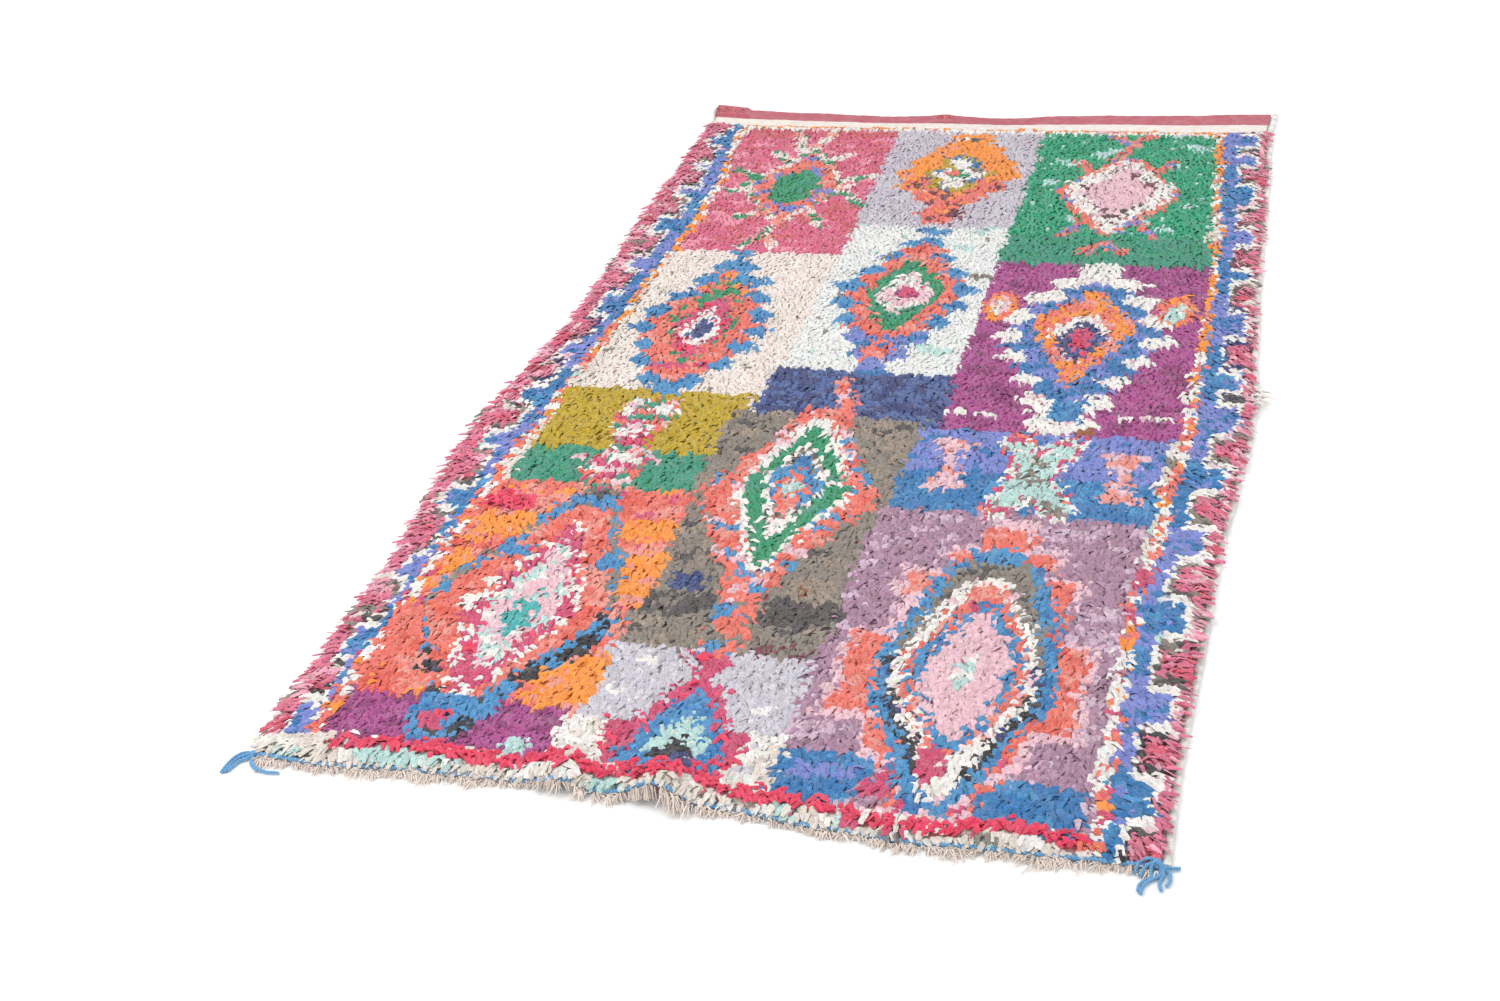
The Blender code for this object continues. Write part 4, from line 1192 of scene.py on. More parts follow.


# Finishes. Columns: fibre scale, contrast, fading, crumple depth and its painted shade,
# roughness low and high, bump distance, sheen, specular level.
Finish = namedtuple("Finish", "fibre contrast fading crumple shade low high bump sheen specular")
FINISHES = {
    "fine_rag": Finish(900.0, 0.50, 0.10, 10.0, 0.65, 0.80, 0.98, 0.0010, 0.25, 0.25),
    "jersey_rag": Finish(650.0, 0.34, 0.08, 16.0, 0.70, 0.76, 0.96, 0.0010, 0.22, 0.30),
    "knit_rag": Finish(520.0, 0.60, 0.12, 8.0, 0.65, 0.82, 0.98, 0.0010, 0.30, 0.22),
    "satin_rag": Finish(800.0, 0.30, 0.06, 16.0, 0.80, 0.42, 0.72, 0.0010, 0.10, 0.50),
    "wool_cord": Finish(1100.0, 0.50, 0.08, 0.5, 0.20, 0.85, 1.00, 0.0008, 0.35, 0.20),
    "flat_weave": Finish(1000.0, 0.46, 0.12, 1.0, 0.25, 0.84, 0.99, 0.0007, 0.25, 0.22),
}


def cloth_material(name, finish):
    """A cloth material whose colour comes from the piece's own tints."""
    values = FINISHES[finish]
    material = bpy.data.materials.new(name)
    material.use_nodes = True
    tree = material.node_tree
    shader = tree.nodes["Principled BSDF"]
    tint = node(tree, "ShaderNodeAttribute", attribute_name="rag_tint")
    cloth = tree.nodes.new("ShaderNodeGroup")
    cloth.node_tree = cloth_group()
    cloth.inputs["Fibre Scale"].default_value = values.fibre
    cloth.inputs["Fibre Contrast"].default_value = values.contrast
    cloth.inputs["Fading"].default_value = values.fading
    cloth.inputs["Crumple Depth"].default_value = values.crumple
    cloth.inputs["Crumple Shade"].default_value = values.shade
    cloth.inputs["Roughness Low"].default_value = values.low
    cloth.inputs["Roughness High"].default_value = values.high
    tree.links.new(tint.outputs["Color"], cloth.inputs["Tint"])
    tree.links.new(cloth.outputs["Color"], shader.inputs["Base Color"])
    tree.links.new(cloth.outputs["Roughness"], shader.inputs["Roughness"])
    bump = node(tree, "ShaderNodeBump", Strength=0.6, Distance=values.bump)
    tree.links.new(cloth.outputs["Height"], bump.inputs["Height"])
    tree.links.new(bump.outputs["Normal"], shader.inputs["Normal"])
    shader.inputs["Sheen Weight"].default_value = values.sheen
    shader.inputs["Sheen Roughness"].default_value = 0.5
    shader.inputs["Specular IOR Level"].default_value = values.specular
    return material


def finish_piece(obj, finish, slot, *nodes):
    """Give a piece its material and its place in the frame."""
    obj.data.materials.append(cloth_material(obj.name, finish))
    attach(obj, "root")
    if nodes:
        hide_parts(*nodes)
    return obj


PILE_PIECES = sorted({RAGS[name].piece for name in RAG_NAMES})
PIECE_FINISHES = {
    "pile_rose": "fine_rag", "pile_cream": "fine_rag", "pile_white": "fine_rag",
    "pile_purple": "fine_rag", "pile_emerald": "knit_rag", "pile_mauve": "satin_rag",
}


class Knots:
    """Every knot of the pile, with its place, its rag and the way it leans."""

    def __init__(self):
        size = sizes()
        self.draws = np.random.default_rng(size.seed)
        rows = np.arange(int((BAND_START - 0.004) / size.row_pitch))
        columns = np.arange(int(size.width / size.knot_pitch) - 1)
        row_index, column_index = (grid.ravel() for grid in np.meshgrid(rows, columns, indexing="ij"))
        jitter = self.draws.uniform(-KNOT_JITTER, KNOT_JITTER, (2, len(row_index)))
        self.row = FIRST_ROW + (row_index + 0.25 + jitter[0]) * size.row_pitch
        self.column = (column_index + 0.5 + 0.5 * (row_index % 2) + jitter[1]) * size.knot_pitch
        self.across, self.along, self.lift = cloth_place(self.row, self.column)
        self.from_left = self.column
        self.from_right = size.width - self.column
        turn = self.outwards()
        seen_across = self.across + STRIP_REACH * np.sin(turn)
        seen_along = self.along - STRIP_REACH * np.cos(turn)
        mixes = chart_mixes(seen_across, seen_along, PILE_MIDDLE + self.lift, self.row)
        self.rags = pick_rags(mixes, self.across, self.along, self.draws)

    def outwards(self):
        """How far strips turn from the near end towards the nearer side."""
        left = np.clip(1.0 - self.from_left / BORDER_REACH, 0.0, 1.0)
        right = np.clip(1.0 - self.from_right / BORDER_REACH, 0.0, 1.0)
        return SIDE_LEANS[1] * np.sqrt(right) + SIDE_LEANS[0] * np.sqrt(left)

    def leans(self, name, cut):
        """Angle of each strip: to the near end, with drifts, and outwards at the borders."""
        drift = LEAN_DRIFT * soft_noise(self.across, self.along, 0.06, 0.07, 41)
        lean = drift + self.draws.normal(0.0, 1.0, len(drift)) * np.radians(cut.spread) * 0.7
        if name == "line":
            return lean + np.where(self.draws.random(len(drift)) < 0.5, -LINE_LEAN, LINE_LEAN)
        outwards = self.outwards()
        calm = 1.0 - 0.30 * np.abs(outwards)
        if name == "edge":
            outwards = np.where(self.from_left < self.from_right, *EDGE_LEANS)
        return lean * calm + outwards


# Tufts that stand away from the pattern: a rag, its place across and along, its half size
# across and along, how many strips, their lean in radians and their length.
Tuft = namedtuple("Tuft", "rag across along half_across half_along count lean length")
TUFTS = (
    Tuft("chalk", 1.523, 1.315, 0.010, 0.028, 26, 1.5, 0.036),
    Tuft("stone", 0.024, 0.155, 0.006, 0.008, 8, -1.4, 0.034),
    Tuft("taupe", 0.047, 1.765, 0.006, 0.020, 10, -1.4, 0.030),
    Tuft("taupe", 0.004, 1.085, 0.006, 0.030, 12, -1.4, 0.030),
    Tuft("brick", 0.060, 2.672, 0.040, 0.012, 46, 1.0, 0.022),
    Tuft("brick", 0.655, 2.655, 0.018, 0.008, 12, 1.2, 0.018),
)


def tie_tufts(piles, draws):
    """Add the loose tufts to the piles of their rags."""
    for tuft in TUFTS:
        count = tuft.count
        across = tuft.across + tuft.half_across * draws.uniform(-1.0, 1.0, count)
        along = tuft.along + tuft.half_along * draws.uniform(-1.0, 1.0, count)
        root = to_world(across, along, draws.uniform(0.006, 0.010, count))
        length = tuft.length * draws.uniform(0.6, 1.1, count)
        colour = linear_colours([tuft.rag]) * (1.0 + draws.normal(0.0, 0.08, (count, 1)))
        lean = tuft.lean + draws.normal(0.0, 0.5, count)
        width = draws.uniform(0.003, 0.006, count)
        rise = draws.uniform(0.003, 0.009, count)
        droop = np.full(count, 0.9)
        roll = draws.normal(0.0, 0.5, count)
        pile = piles[RAGS[tuft.rag].piece]
        pile.add(root, lean, width, length, rise, droop, roll, 0.3, colour, draws)


def knot_pile():
    """Knot every rag and build one piece for each family of colour."""
    knots = Knots()
    draws = knots.draws
    colours = linear_colours(RAG_NAMES)
    piles = {piece: StripSet() for piece in PILE_PIECES}
    leans = {name: knots.leans(name, cut) for name, cut in CUTS.items()}
    far = np.clip((knots.along - SHRINK_START) / SHRINK_LENGTH, 0.0, 1.0)
    swell = 1.0 + PILE_SWELL * soft_noise(knots.across, knots.along, 0.10, 0.08, 43)
    near_edge = np.clip(knots.row / KNOT_RIM, 0.0, 1.0)
    rim = np.clip(1.0 - knots.from_right / KNOT_RIM, 0.0, 1.0)
    stretch = 1.0 + rim * np.interp(knots.along, *np.array(RIM_REACH).T)
    base = sizes().ground + ROOT_SHARE * knot_base(knots.row, knots.column)
    roots = to_world(knots.across, knots.along, knots.lift + base)
    for index, name in enumerate(RAG_NAMES):
        cut = CUTS[RAGS[name].cut]
        here = knots.rags == index
        count = int(here.sum())
        size = 1.0 - FAR_SHRINK * far[here]
        edge = near_edge[here]
        width = draw_between(draws, cut.width, count) * size
        length = draw_between(draws, cut.length, count) * size * (0.45 + 0.55 * edge)
        length *= stretch[here]
        rise = draw_between(draws, cut.rise, count) * swell[here] * (0.75 + 0.25 * edge)
        droop = draw_between(draws, cut.droop, count)
        roll = draws.normal(0.0, 1.0, count) * np.radians(cut.roll)
        tone = 1.0 + draws.normal(0.0, cut.mottle, (count, 1)) + draws.normal(0.0, 0.02, (count, 3))
        piles[RAGS[name].piece].add(
            roots[here], leans[RAGS[name].cut][here], width, length, rise, droop, roll, cut.fold,
            colours[index] * tone, draws,
        )
    tie_tufts(piles, draws)
    for piece, strips in piles.items():
        finish_piece(strips.build(piece), PIECE_FINISHES.get(piece, "jersey_rag"), "rag_pile")


def grid_faces(rows, columns):
    """Corner indices of a grid's faces, facing up."""
    first = (np.arange(rows - 1)[:, None] * columns + np.arange(columns - 1)[None, :]).ravel()
    return np.stack((first, first + 1, first + columns + 1, first + columns), axis=1)


def slab(name, row, column, bottom, top, colours):
    """A closed slab of cloth over a grid of its own rows and columns."""
    rows, columns = row.shape
    across, along, lift = cloth_place(row.ravel(), column.ravel())
    upper = to_world(across, along, lift + top.ravel())
    lower = to_world(across, along, lift + bottom.ravel())
    count = rows * columns
    faces = grid_faces(rows, columns)
    index = np.arange(count).reshape(rows, columns)
    rim = np.concatenate((index[0, :-1], index[:-1, -1], index[-1, :0:-1], index[:0:-1, 0]))
    after = np.roll(rim, -1)
    walls = np.stack((rim, rim + count, after + count, after), axis=1)[:, ::-1]
    quads = np.concatenate((faces, faces[:, ::-1] + count, walls))
    share_x = (column / sizes().width).ravel()
    share_y = ((row - row.min()) / (row.max() - row.min())).ravel()
    top_map = np.stack((0.01 + 0.98 * share_x, 0.02 + 0.45 * share_y), axis=1)
    low_map = np.stack((0.01 + 0.98 * share_x, 0.52 + 0.45 * share_y), axis=1)
    flat_map = np.concatenate((top_map, low_map))
    strip = np.linspace(0.01, 0.99, len(rim) + 1)
    wall_map = np.zeros((len(rim), 4, 2))
    for corner, (after_end, high) in enumerate(((1, 1), (1, 0), (0, 0), (0, 1))):
        wall_map[:, corner, 0] = strip[1:] if after_end else strip[:-1]
        wall_map[:, corner, 1] = 0.995 if high else 0.978
    uvs = np.concatenate((flat_map[quads[:2 * len(faces)].ravel()], wall_map.reshape(-1, 2)))
    points = np.concatenate((upper, lower))
    return make_object(name, points, [quads], np.concatenate((colours, colours)), uvs)


def knot_base(row, column):
    """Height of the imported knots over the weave: full in the pile, none at its rims."""
    size = sizes()
    inwards = np.minimum(np.minimum(column, size.width - column), np.minimum(row, BAND_START - row))
    share = np.clip(inwards / KNOT_RIM, 0.0, 1.0)
    return size.knot_base * share * (2.0 - share)


def weave_ground():
    """The ground cloth with its packed knots, in colours near those of the rags over them, lightened as
    painted light against the shade in the gaps.
    """
    size = sizes()
    row, column = np.meshgrid(
        np.linspace(0.0, size.length, GROUND_ROWS), np.linspace(0.0, size.width, GROUND_COLUMNS),
        indexing="ij",
    )
    across, along, lift = cloth_place(row.ravel(), column.ravel())
    mixes = chart_mixes(across, along - GROUND_REACH, GROUND_HEIGHT + lift, row.ravel())
    rags = pick_rags(mixes, across, along, np.random.default_rng(size.seed))
    # Painted light: the ground is lighter than its rags, to offset the shade in the gaps between strips
    colours = np.minimum(TINT_LIMIT, GROUND_PAINTED_LIGHT * linear_colours(RAG_NAMES)[rags])
    colours[row.ravel() > BAND_START] = linear_colours(["band_cream"]) * 0.8
    top = size.ground + knot_base(row, column)
    ground = slab("ground_cloth", row, column, 0.0 * top, top, colours)
    finish_piece(ground, "flat_weave", "flat_weave", "rug")


def weave_band(name, rag, near, far, draws):
    """One flat-woven band with its ribs running across the rug."""
    size = sizes()
    rows = int(round((far - near) / RIB_PITCH)) * 2 + 1
    row, column = np.meshgrid(
        np.linspace(near, far, rows), np.linspace(0.0, size.width, BAND_COLUMNS), indexing="ij"
    )
    rib = (np.arange(rows) % 2)[:, None] * RIB_HEIGHT
    side = np.where(np.arange(rows) % 4 < 2, 1, -1)[:, None]
    beat = 0.0004 * np.sin(np.arange(BAND_COLUMNS) * 1.9)[None, :] * side
    lumps = 0.0009 * soft_noise(column.ravel(), row.ravel(), 0.04, 0.02, 51).reshape(row.shape)
    top = size.ground + size.band - RIB_ROOM + rib + beat + lumps
    corner = (column < CORNER_WIDTH) & (row > BAND_MIDDLE + 0.01)
    top = np.where(corner, top + CORNER_LIFT, top)
    fluff = np.exp(-(((column - FLUFF_ACROSS) / FLUFF_HALF_WIDTH) ** 2)) * FLUFF_HEIGHT
    top = top + np.where(row > BAND_MIDDLE, fluff, 0.0)
    tone = 1.0 + 0.10 * soft_noise(column.ravel(), row.ravel(), 0.012, 0.003, 52)[:, None]
    tone = tone + draws.normal(0.0, 0.06, (row.size, 1))
    bottom = np.full(row.shape, size.ground + PIECE_GAP)
    return slab(name, row, column, bottom, top, linear_colours([rag]) * tone)


def weave_bands():
    """The flat-woven red and cream bands of the far end."""
    draws = np.random.default_rng(sizes().seed + 1)
    for colour, near, far in (
        ("cream", BAND_START + 0.004, BAND_MIDDLE - 0.0005),
        ("red", BAND_MIDDLE, sizes().length - 0.0005),
    ):
        band = weave_band(f"woven_band_{colour}", f"band_{colour}", near, far, draws)
        finish_piece(band, "flat_weave", "flat_weave")


def tube(name, rings, colours):
    """A closed tube through rings of equal corners, with flat caps at its ends."""
    count, sides = rings.shape[:2]
    index = np.arange(count * sides).reshape(count, sides)
    around = np.roll(index, -1, axis=1)
    quads = np.stack((index[:-1], around[:-1], around[1:], index[1:]), axis=2).reshape(-1, 4)
    caps = np.stack((index[0, ::-1], index[-1]))
    place = np.linspace(0.01, 0.99, count)[:-1] * MAP_LANES
    lane = np.floor(place)
    width = 0.94 * MAP_LANES * 0.98 / (count - 1)
    start = np.minimum(0.02 + 0.94 * (place - lane), 0.98 - width)
    height = 0.9 / (MAP_LANES + 2)
    uvs = np.zeros((count - 1, sides, 4, 2))
    for side in range(sides):
        low = (lane + (side + 0.05) / sides) * height + 0.02
        high = (lane + (side + 0.90) / sides) * height + 0.02
        uvs[:, side, 0] = np.stack((start, low), axis=1)
        uvs[:, side, 1] = np.stack((start, high), axis=1)
        uvs[:, side, 2] = np.stack((start + width * 0.96, high), axis=1)
        uvs[:, side, 3] = np.stack((start + width * 0.96, low), axis=1)
    angles = np.arange(sides) / sides * 2 * np.pi
    disc = np.stack((np.cos(angles), np.sin(angles)), axis=1) * 0.015
    cap_uvs = np.stack((disc[::-1] + (0.2, 0.96), disc + (0.6, 0.96)))
    all_uvs = np.concatenate((uvs.reshape(-1, 2), cap_uvs.reshape(-1, 2)))
    return make_object(name, rings.reshape(-1, 3), [quads, caps], colours.reshape(-1, 3), all_uvs)


def overcast_edge(name, side, node_name):
    """An overcast edge: a low cord wrapped with wool, its turns raised and slanted, with painted shade in
    the grooves between turns.
    """
    size = sizes()
    width = (SELVEDGE_WIDTH_LEFT, SELVEDGE_WIDTH_RIGHT)[side]
    row = np.linspace(0.0, size.length, OVERCAST_RINGS)
    across, along, _ = cloth_place(row, np.full(OVERCAST_RINGS, size.width * side))
    outwards = 1 if side else -1
    angles = np.arange(OVERCAST_SIDES) / OVERCAST_SIDES * 2 * np.pi
    profile_x = 0.5 + 0.5 * np.cos(angles)
    profile_z = 0.5 + 0.5 * np.sin(angles)
    turn = along[:, None] / OVERCAST_TURN + profile_x[None, :] * 0.8
    ridge = np.abs(np.sin(np.pi * turn)) ** 0.6
    wave = soft_noise(along, along * 0.0, 0.05, 1.0, 61 + side)
    reach = 0.96 * width * (0.10 + 0.80 * profile_x[None, :] + 0.06 * ridge)
    height = size.selvedge_height * (0.86 + 0.14 * wave[:, None]) * profile_z[None, :]
    height = height * (0.76 + 0.24 * ridge)
    points = to_world(across[:, None] + outwards * (PIECE_GAP + reach), along[:, None], height)
    wools = linear_colours(["edge_wool", "edge_grey"])
    greying = np.clip(0.5 + 1.1 * soft_noise(along, along * 0.0, 0.012, 1.0, 63 + side), 0.0, 1.0)
    greying = greying * (0.75 if side == 0 else 0.50)
    base = wools[0] + (wools[1] - wools[0]) * greying[:, None]
    # Painted shade: the wool is darker in the grooves between its raised turns
    colours = base[:, None, :] * (0.60 + 0.40 * ridge[:, :, None])
    if side == 0:
        points, colours = points[:, ::-1], colours[:, ::-1]
    cord = tube(name, points[::-1], colours[::-1])
    finish_piece(cord, "wool_cord", "selvedge_wool", node_name)


def overcast_edges():
    """Both overcast edges."""
    overcast_edge("overcast_left", 0, "selvedge_left")
    overcast_edge("overcast_right", 1, "selvedge_right")


def near_line(count, inset):
    """Points along the near end, at a distance outside the body's edge."""
    column = np.linspace(0.0, sizes().width, count)
    across, along, lift = cloth_place(np.zeros(count), column)
    return across, along - inset, lift


def ring_round(line, radius):
    """Rings of corners round a line of points."""
    tangent = unit(np.gradient(line, axis=0))
    level = unit(np.cross(tangent, np.array((0.0, 0.0, 1.0))))
    upright = np.cross(level, tangent)
    angles = np.arange(PLY_SIDES) / PLY_SIDES * 2 * np.pi
    return (
        line[:, None, :]
        + level[:, None, :] * (np.cos(angles) * radius)[None, :, None]
        + upright[:, None, :] * (np.sin(angles) * radius)[None, :, None]
    )


def join_tubes(name, tubes, colour, draws):
    """One object from several closed tubes, each a stack of rings."""
    made = []
    for rings in tubes:
        tone = 1.0 + draws.normal(0.0, 0.07, (len(rings), 1, 1))
        colours = np.broadcast_to(colour, rings.shape) * tone
        made.append(tube(name, rings, colours))
    with bpy.context.temp_override(active_object=made[0], selected_editable_objects=made):
        bpy.ops.object.join()
    joined = made[0]
    joined.name = name
    layer = joined.data.uv_layers["OFBake"]
    uvs = np.zeros(len(layer.data) * 2, np.float32)
    layer.data.foreach_get("uv", uvs)
    uvs = uvs.reshape(-1, 2)
    lanes = int(np.ceil(np.sqrt(len(tubes))))
    start = 0
    for index, rings in enumerate(tubes):
        count, sides = rings.shape[:2]
        size = (count - 1) * sides * 4 + 2 * sides
        cell = np.array((index % lanes, index // lanes))
        uvs[start:start + size] = (uvs[start:start + size] + cell) / lanes
        start += size
    layer.data.foreach_set("uv", uvs.ravel())
    return joined


def twine_end():
    """The twined cord of the near end: two blue plies that turn round each other."""
    draws = np.random.default_rng(sizes().seed + 2)
    across, along, lift = near_line(CORD_RINGS, PIECE_GAP + TWINING_WIDTH / 2)
    turn = across / CORD_TURN * 2 * np.pi
    plies = []
    for phase in (0.0, np.pi):
        beside = along + CORD_SWING * np.cos(turn + phase)
        above = lift + CORD_MIDDLE + CORD_SWING * np.sin(turn + phase)
        plies.append(ring_round(to_world(across, beside, above), CORD_PLY))
    cord = join_tubes("end_cord", plies, linear_colours(["blue_yarn"])[0], draws)
    finish_piece(cord, "wool_cord", "twining_yarn", "end_twining")


def fray_fringe():
    """The warp fringe: short beige strands of uneven length from a narrow strip."""
    size = sizes()
    draws = np.random.default_rng(size.seed + 3)
    count = size.strands
    margin = 0.002
    column = draws.uniform(margin, size.width - margin, count)
    column = np.clip(column + 0.006 * np.sin(column * 2 * np.pi / 0.023), margin, size.width - margin)
    across, along, lift = cloth_place(np.zeros(count), column)
    along = along - (2 * PIECE_GAP + TWINING_WIDTH) + draws.uniform(-0.003, 0.002, count)
    root = to_world(across, along, lift + draws.uniform(0.0005, 0.0035, count))
    length = draw_between(draws, FRINGE_LENGTH, count)
    length = length * (1.0 + 0.40 * soft_noise(across, along * 0.0, 0.045, 1.0, 71))
    length = length * (1.0 + 0.45 * soft_noise(across, along * 0.0, 0.010, 1.0, 73))
    lean = draws.normal(0.0, 0.75, count) + 1.1 * soft_noise(across, along * 0.0, 0.024, 1.0, 72)
    rise = draw_between(draws, FRINGE_RISE, count)
    droop = 1.0 + np.maximum(0.0, root[:, 2] - 0.002) * 0.6 / rise
    colour = linear_colours(["warp"]) * (1.0 + draws.normal(0.0, 0.10, (count, 1)))
    width = draw_between(draws, FRINGE_WIDTH, count)
    roll = draws.normal(0.0, 0.5, count)
    strands = StripSet()
    strands.add(root, lean, width, length, rise, droop, roll, 0.4, colour, draws)
    finish_piece(strands.build("warp_fringe"), "wool_cord", "fringe_warp", "end_fringe")


# Routes of the tassel yarns. Each point is across, along and up from the place of their knot.
LEFT_YARNS = (
    (
        (0.0, 0.0, 0.007), (-0.014, -0.001, 0.007), (-0.028, -0.008, 0.004),
        (-0.034, -0.026, 0.003), (-0.035, -0.050, 0.003),
    ),
    (
        (0.0, 0.0, 0.006), (-0.010, -0.006, 0.007), (-0.022, -0.012, 0.004),
        (-0.028, -0.028, 0.003), (-0.030, -0.047, 0.003),
    ),
    (
        (0.0, 0.0, 0.005), (-0.006, -0.010, 0.005), (-0.017, -0.018, 0.003),
        (-0.022, -0.030, 0.003), (-0.026, -0.044, 0.003),
    ),
    (
        (0.0, 0.0, 0.006), (0.004, -0.014, 0.004), (0.016, -0.028, 0.003),
        (0.038, -0.036, 0.003), (0.064, -0.035, 0.003),
    ),
    ((0.0, 0.0, 0.005), (0.002, -0.014, 0.003), (0.010, -0.026, 0.003), (0.026, -0.036, 0.003)),
)
RIGHT_YARNS = (
    (
        (0.0, 0.0, 0.006), (-0.002, -0.014, 0.004), (-0.014, -0.024, 0.003),
        (-0.024, -0.038, 0.003), (-0.026, -0.055, 0.003),
    ),
    (
        (0.0, 0.0, 0.006), (-0.006, -0.012, 0.005), (-0.020, -0.024, 0.003),
        (-0.029, -0.036, 0.003), (-0.030, -0.050, 0.003),
    ),
    ((0.0, 0.0, 0.006), (0.002, -0.014, 0.004), (-0.002, -0.028, 0.003), (0.002, -0.044, 0.003)),
    ((0.0, 0.0, 0.005), (0.010, -0.008, 0.004), (0.012, -0.022, 0.003), (0.008, -0.034, 0.003)),
    ((0.0, 0.0, 0.006), (0.012, 0.002, 0.005), (0.024, 0.005, 0.003)),
    ((0.0, 0.0, 0.008), (-0.012, 0.004, 0.012), (-0.024, -0.006, 0.010), (-0.030, -0.020, 0.003)),
    ((0.0, 0.0, 0.009), (-0.018, 0.008, 0.014), (-0.034, 0.000, 0.011), (-0.038, -0.016, 0.003)),
    ((0.0, 0.0, 0.008), (-0.008, 0.008, 0.013), (-0.016, -0.004, 0.010), (-0.014, -0.020, 0.003)),
)


def smooth_route(points, count):
    """A smooth line through the few points of a route."""
    points = np.array(points, float)
    padded = np.concatenate((points[:1] * 2 - points[1:2], points, points[-1:] * 2 - points[-2:-1]))
    spots = np.linspace(0.0, len(points) - 1 - 1e-6, count)
    index = spots.astype(int)
    share = (spots - index)[:, None]
    a, b, c, d = (padded[index + k] for k in range(4))
    curve = 2 * b + (c - a) * share + (2 * a - 5 * b + 4 * c - d) * share ** 2
    return 0.5 * (curve + (3 * b - a - 3 * c + d) * share ** 3)


def tie_tassel(name, side, routes, node_name):
    """A corner tassel: a wound knot and loose two-ply yarns that lie on the floor."""
    size = sizes()
    draws = np.random.default_rng(size.seed + 4 + side)
    across, along, _ = cloth_place(np.zeros(1), np.full(1, size.width * side))
    outwards = 1 if side else -1
    clear = KNOT_RADIUS + PIECE_GAP
    centre = to_world(across + outwards * clear, along - clear, np.zeros(1))[0]
    yarns = []
    for route in routes:
        line = smooth_route(route, 12 * len(route)) + (*centre[:2], 0.0)
        line[:, 2] = np.maximum(line[:, 2], YARN_REST)
        steps = np.linalg.norm(np.diff(line, axis=0), axis=1)
        distance = np.concatenate(([0.0], np.cumsum(steps)))
        ahead = unit(np.gradient(line, axis=0))
        beside = unit(np.cross(ahead, (0.0, 0.0, 1.0)))
        above = np.cross(beside, ahead)
        turn = (distance / YARN_TURN * 2 * np.pi + draws.uniform(0.0, 6.0))[:, None]
        for phase in (0.0, np.pi):
            swing = YARN_SWING * (beside * np.cos(turn + phase) + above * np.sin(turn + phase))
            yarns.append(ring_round(line + swing, YARN_PLY))
    for level, share in enumerate(WIND_SHARES):
        angle = np.linspace(0.0, 2 * np.pi, 22, endpoint=False)[:21] + level
        radius = KNOT_RADIUS * share
        wind = np.column_stack((
            centre[0] + radius * np.cos(angle), centre[1] + radius * np.sin(angle),
            YARN_REST - 0.0004 + WIND_RISE * level + 0.0008 * np.sin(angle),
        ))
        yarns.append(ring_round(wind, WIND_PLY))
    tassel = join_tubes(name, yarns, linear_colours(["blue_yarn"])[0], draws)
    finish_piece(tassel, "wool_cord", "tassel_yarn", node_name)


def tie_tassels():
    """The blue tassels at the two near corners."""
    tie_tassel("corner_tassel_left", 0, LEFT_YARNS, "tassel_left")
    tie_tassel("corner_tassel_right", 1, RIGHT_YARNS, "tassel_right")


def lay_rug():
    """This step does nothing."""


# The floor's half width and how far it lies under the rug's back
FLOOR_HALF = 9.0
FLOOR_DROP = 0.0006

# Two large soft lamps: place, the point that they face, size and power
Lamp = namedtuple("Lamp", "name place target size power")
LAMPS = (
    Lamp("key_lamp", (-2.2, -1.2, 3.6), (0.0, 0.0, 0.0), 2.4, 70.0),
    Lamp("fill_lamp", (2.4, 2.0, 3.2), (0.0, 0.2, 0.0), 2.4, 16.0),
)


def make_floor():
    """A plain pale floor that runs far past the rug."""
    mesh = bpy.data.meshes.new("floor")
    turns = ((-1, -1), (1, -1), (1, 1), (-1, 1))
    corners = [(x * FLOOR_HALF, y * FLOOR_HALF, -FLOOR_DROP) for x, y in turns]
    mesh.from_pydata(corners, [], [(0, 1, 2, 3)])
    floor = bpy.data.objects.new("floor", mesh)
    bpy.context.scene.collection.objects.link(floor)
    material = bpy.data.materials.new("pale_floor")
    material.use_nodes = True
    shader = material.node_tree.nodes["Principled BSDF"]
    shader.inputs["Base Color"].default_value = (0.93, 0.93, 0.93, 1.0)
    shader.inputs["Roughness"].default_value = 0.9
    shader.inputs["Specular IOR Level"].default_value = 0.1
    mesh.materials.append(material)


def make_light(name, location, target, size, power):
    """One large soft lamp."""
    lamp = bpy.data.lights.new(name, "AREA")
    lamp.shape = "SQUARE"
    lamp.size = size
    lamp.energy = power
    obj = bpy.data.objects.new(name, lamp)
    obj.location = location
    obj.rotation_euler = (Vector(target) - Vector(location)).to_track_quat("-Z", "Y").to_euler()
    bpy.context.scene.collection.objects.link(obj)


def make_camera():
    """The camera, at the place that the chart was read from."""
    place = Vector((CAMERA_ACROSS - CENTRE_ACROSS, CAMERA_ALONG - CENTRE_ALONG, CAMERA_HEIGHT))
    look = (Vector(CAMERA_TARGET) - place).normalized()
    right = look.cross(Vector((0.0, 0.0, 1.0))).normalized()
    turn = Matrix.Rotation(np.radians(CAMERA_ROLL), 3, look)
    right = turn @ right
    up = right.cross(look)
    camera = bpy.data.cameras.new("camera")
    camera.lens = CAMERA_LENS
    camera.sensor_width = 36.0
    camera.sensor_fit = "HORIZONTAL"
    obj = bpy.data.objects.new("camera", camera)
    obj.matrix_world = Matrix.Translation(place) @ Matrix((right, up, -look)).transposed().to_4x4()
    bpy.context.scene.collection.objects.link(obj)
    bpy.context.scene.camera = obj


def set_stage():
    """The floor, an even white sky, two soft lamps and the camera."""
    make_floor()
    scene = bpy.context.scene
    world = bpy.data.worlds.new("white_room")
    world.use_nodes = True
    background = world.node_tree.nodes["Background"]
    background.inputs["Color"].default_value = (1.0, 1.0, 1.0, 1.0)
    background.inputs["Strength"].default_value = 1.0
    scene.world = world
    for lamp in LAMPS:
        make_light(*lamp)
    make_camera()
    scene.view_settings.view_transform = "Standard"


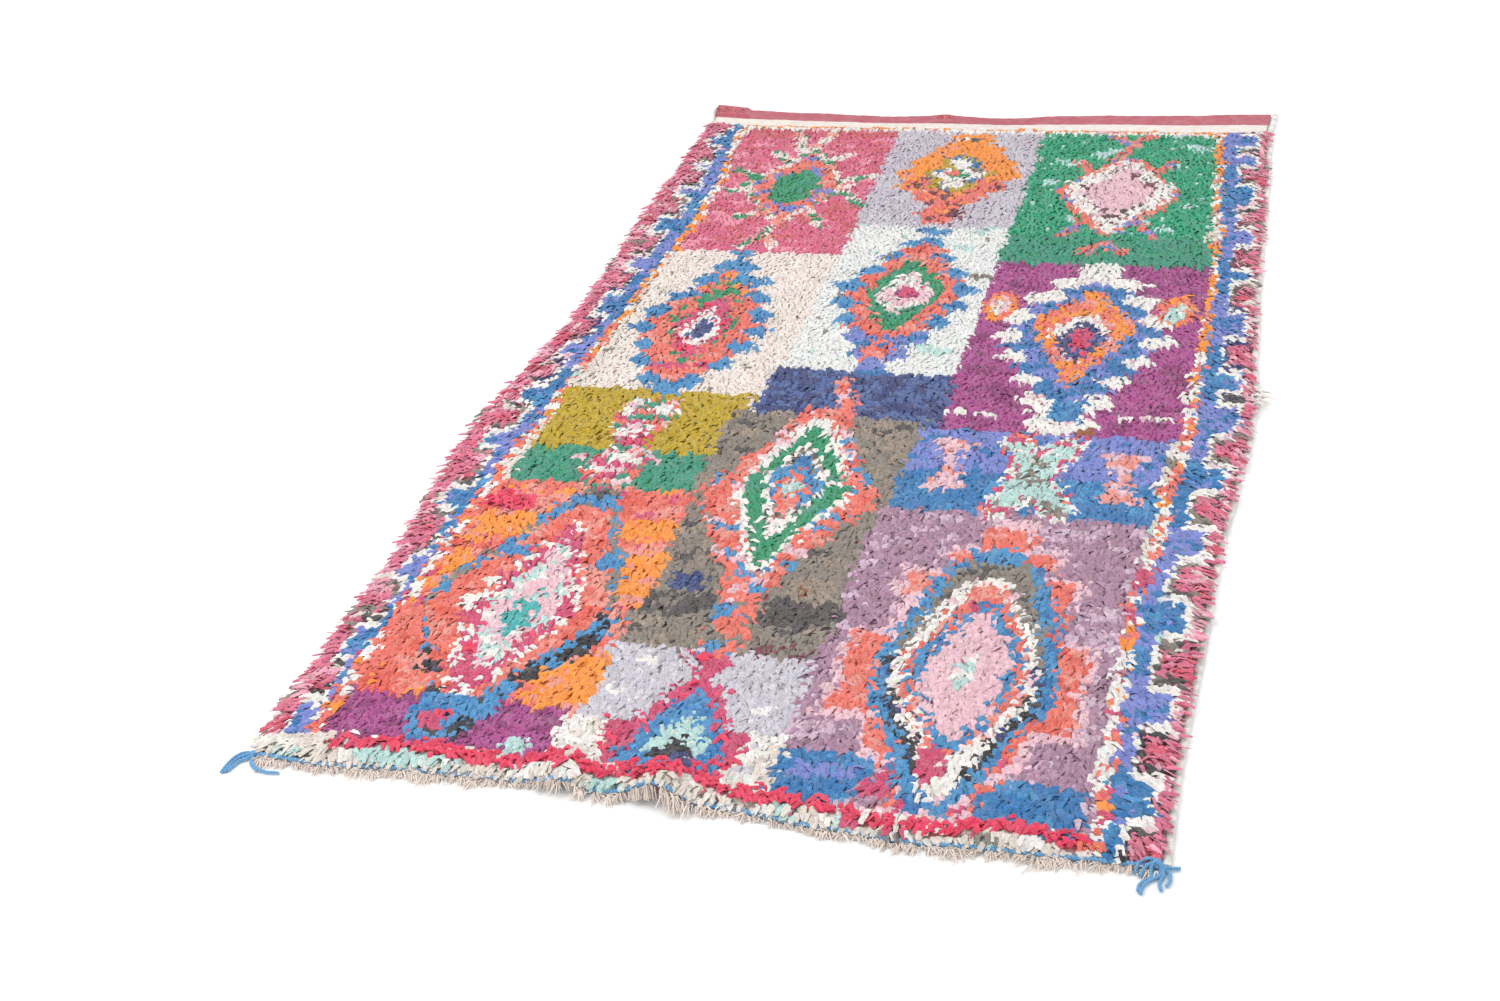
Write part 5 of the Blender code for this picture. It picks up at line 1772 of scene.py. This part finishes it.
class RugOperator:
    """What every step shares: it runs its maker and then reports that it is done."""

    bl_options = {"REGISTER", "UNDO"}
    maker = None

    def execute(self, context):
        """Run this step's maker. An error in it stops the step."""
        self.maker()
        return {"FINISHED"}


class RAGRUG_OT_stage(RugOperator, bpy.types.Operator):
    """Set the floor, the lamps and the camera"""

    bl_idname = "rag_rug.stage"
    bl_label = "Set the stage"
    maker = staticmethod(set_stage)


class RAGRUG_OT_ground(RugOperator, bpy.types.Operator):
    """Weave the ground cloth that the rags are knotted on"""

    bl_idname = "rag_rug.ground"
    bl_label = "Weave the ground"
    maker = staticmethod(weave_ground)


class RAGRUG_OT_bands(RugOperator, bpy.types.Operator):
    """Weave the flat red and cream bands of the far end"""

    bl_idname = "rag_rug.bands"
    bl_label = "Weave the far bands"
    maker = staticmethod(weave_bands)


class RAGRUG_OT_pile(RugOperator, bpy.types.Operator):
    """Knot the rags of the pile, colour by colour"""

    bl_idname = "rag_rug.pile"
    bl_label = "Knot the pile"
    maker = staticmethod(knot_pile)


class RAGRUG_OT_edges(RugOperator, bpy.types.Operator):
    """Overcast the two long edges with wool"""

    bl_idname = "rag_rug.edges"
    bl_label = "Overcast the edges"
    maker = staticmethod(overcast_edges)


class RAGRUG_OT_twining(RugOperator, bpy.types.Operator):
    """Twine the blue cord across the near end"""

    bl_idname = "rag_rug.twining"
    bl_label = "Twine the near end"
    maker = staticmethod(twine_end)


class RAGRUG_OT_fringe(RugOperator, bpy.types.Operator):
    """Fray the warp fringe of the near end"""

    bl_idname = "rag_rug.fringe"
    bl_label = "Fray the fringe"
    maker = staticmethod(fray_fringe)


class RAGRUG_OT_tassels(RugOperator, bpy.types.Operator):
    """Tie the blue tassels at the near corners"""

    bl_idname = "rag_rug.tassels"
    bl_label = "Tie the tassels"
    maker = staticmethod(tie_tassels)


class RAGRUG_OT_lay(RugOperator, bpy.types.Operator):
    """A step that does nothing to the rug"""

    bl_idname = "rag_rug.lay"
    bl_label = "Lay the rug"
    maker = staticmethod(lay_rug)


STEPS = (
    RAGRUG_OT_stage, RAGRUG_OT_ground, RAGRUG_OT_bands, RAGRUG_OT_pile, RAGRUG_OT_edges,
    RAGRUG_OT_twining, RAGRUG_OT_fringe, RAGRUG_OT_tassels, RAGRUG_OT_lay,
)


class RAGRUG_PT_panel(bpy.types.Panel):
    """Lists the sizes, the colours and the steps of the rug."""

    bl_idname = "RAGRUG_PT_panel"
    bl_label = "Rag rug"
    bl_space_type = "VIEW_3D"
    bl_region_type = "UI"
    bl_category = "Rag rug"

    def draw(self, context):
        """Buttons for the steps, then the sizes and the colours."""
        layout = self.layout
        for step in STEPS:
            layout.operator(step.bl_idname)
        for group in (context.scene.rag_rug_sizes, context.scene.rag_rug_colours):
            box = layout.box()
            for name in group.bl_rna.properties.keys():
                if name not in ("rna_type", "name"):
                    box.prop(group, name)


CLASSES = (RugSizes, RugColours, *STEPS, RAGRUG_PT_panel)


def register():
    """Make the rug's sizes, colours, steps and panel known to Blender."""
    for cls in CLASSES:
        bpy.utils.register_class(cls)
    bpy.types.Scene.rag_rug_sizes = PointerProperty(type=RugSizes)
    bpy.types.Scene.rag_rug_colours = PointerProperty(type=RugColours)


def unregister():
    """Take them all away again."""
    del bpy.types.Scene.rag_rug_colours
    del bpy.types.Scene.rag_rug_sizes
    for cls in reversed(CLASSES):
        bpy.utils.unregister_class(cls)


def main():
    """Run every step in order."""
    register()
    for step in STEPS:
        group, name = step.bl_idname.split(".")
        getattr(getattr(bpy.ops, group), name)()


if __name__ == "__main__":
    main()
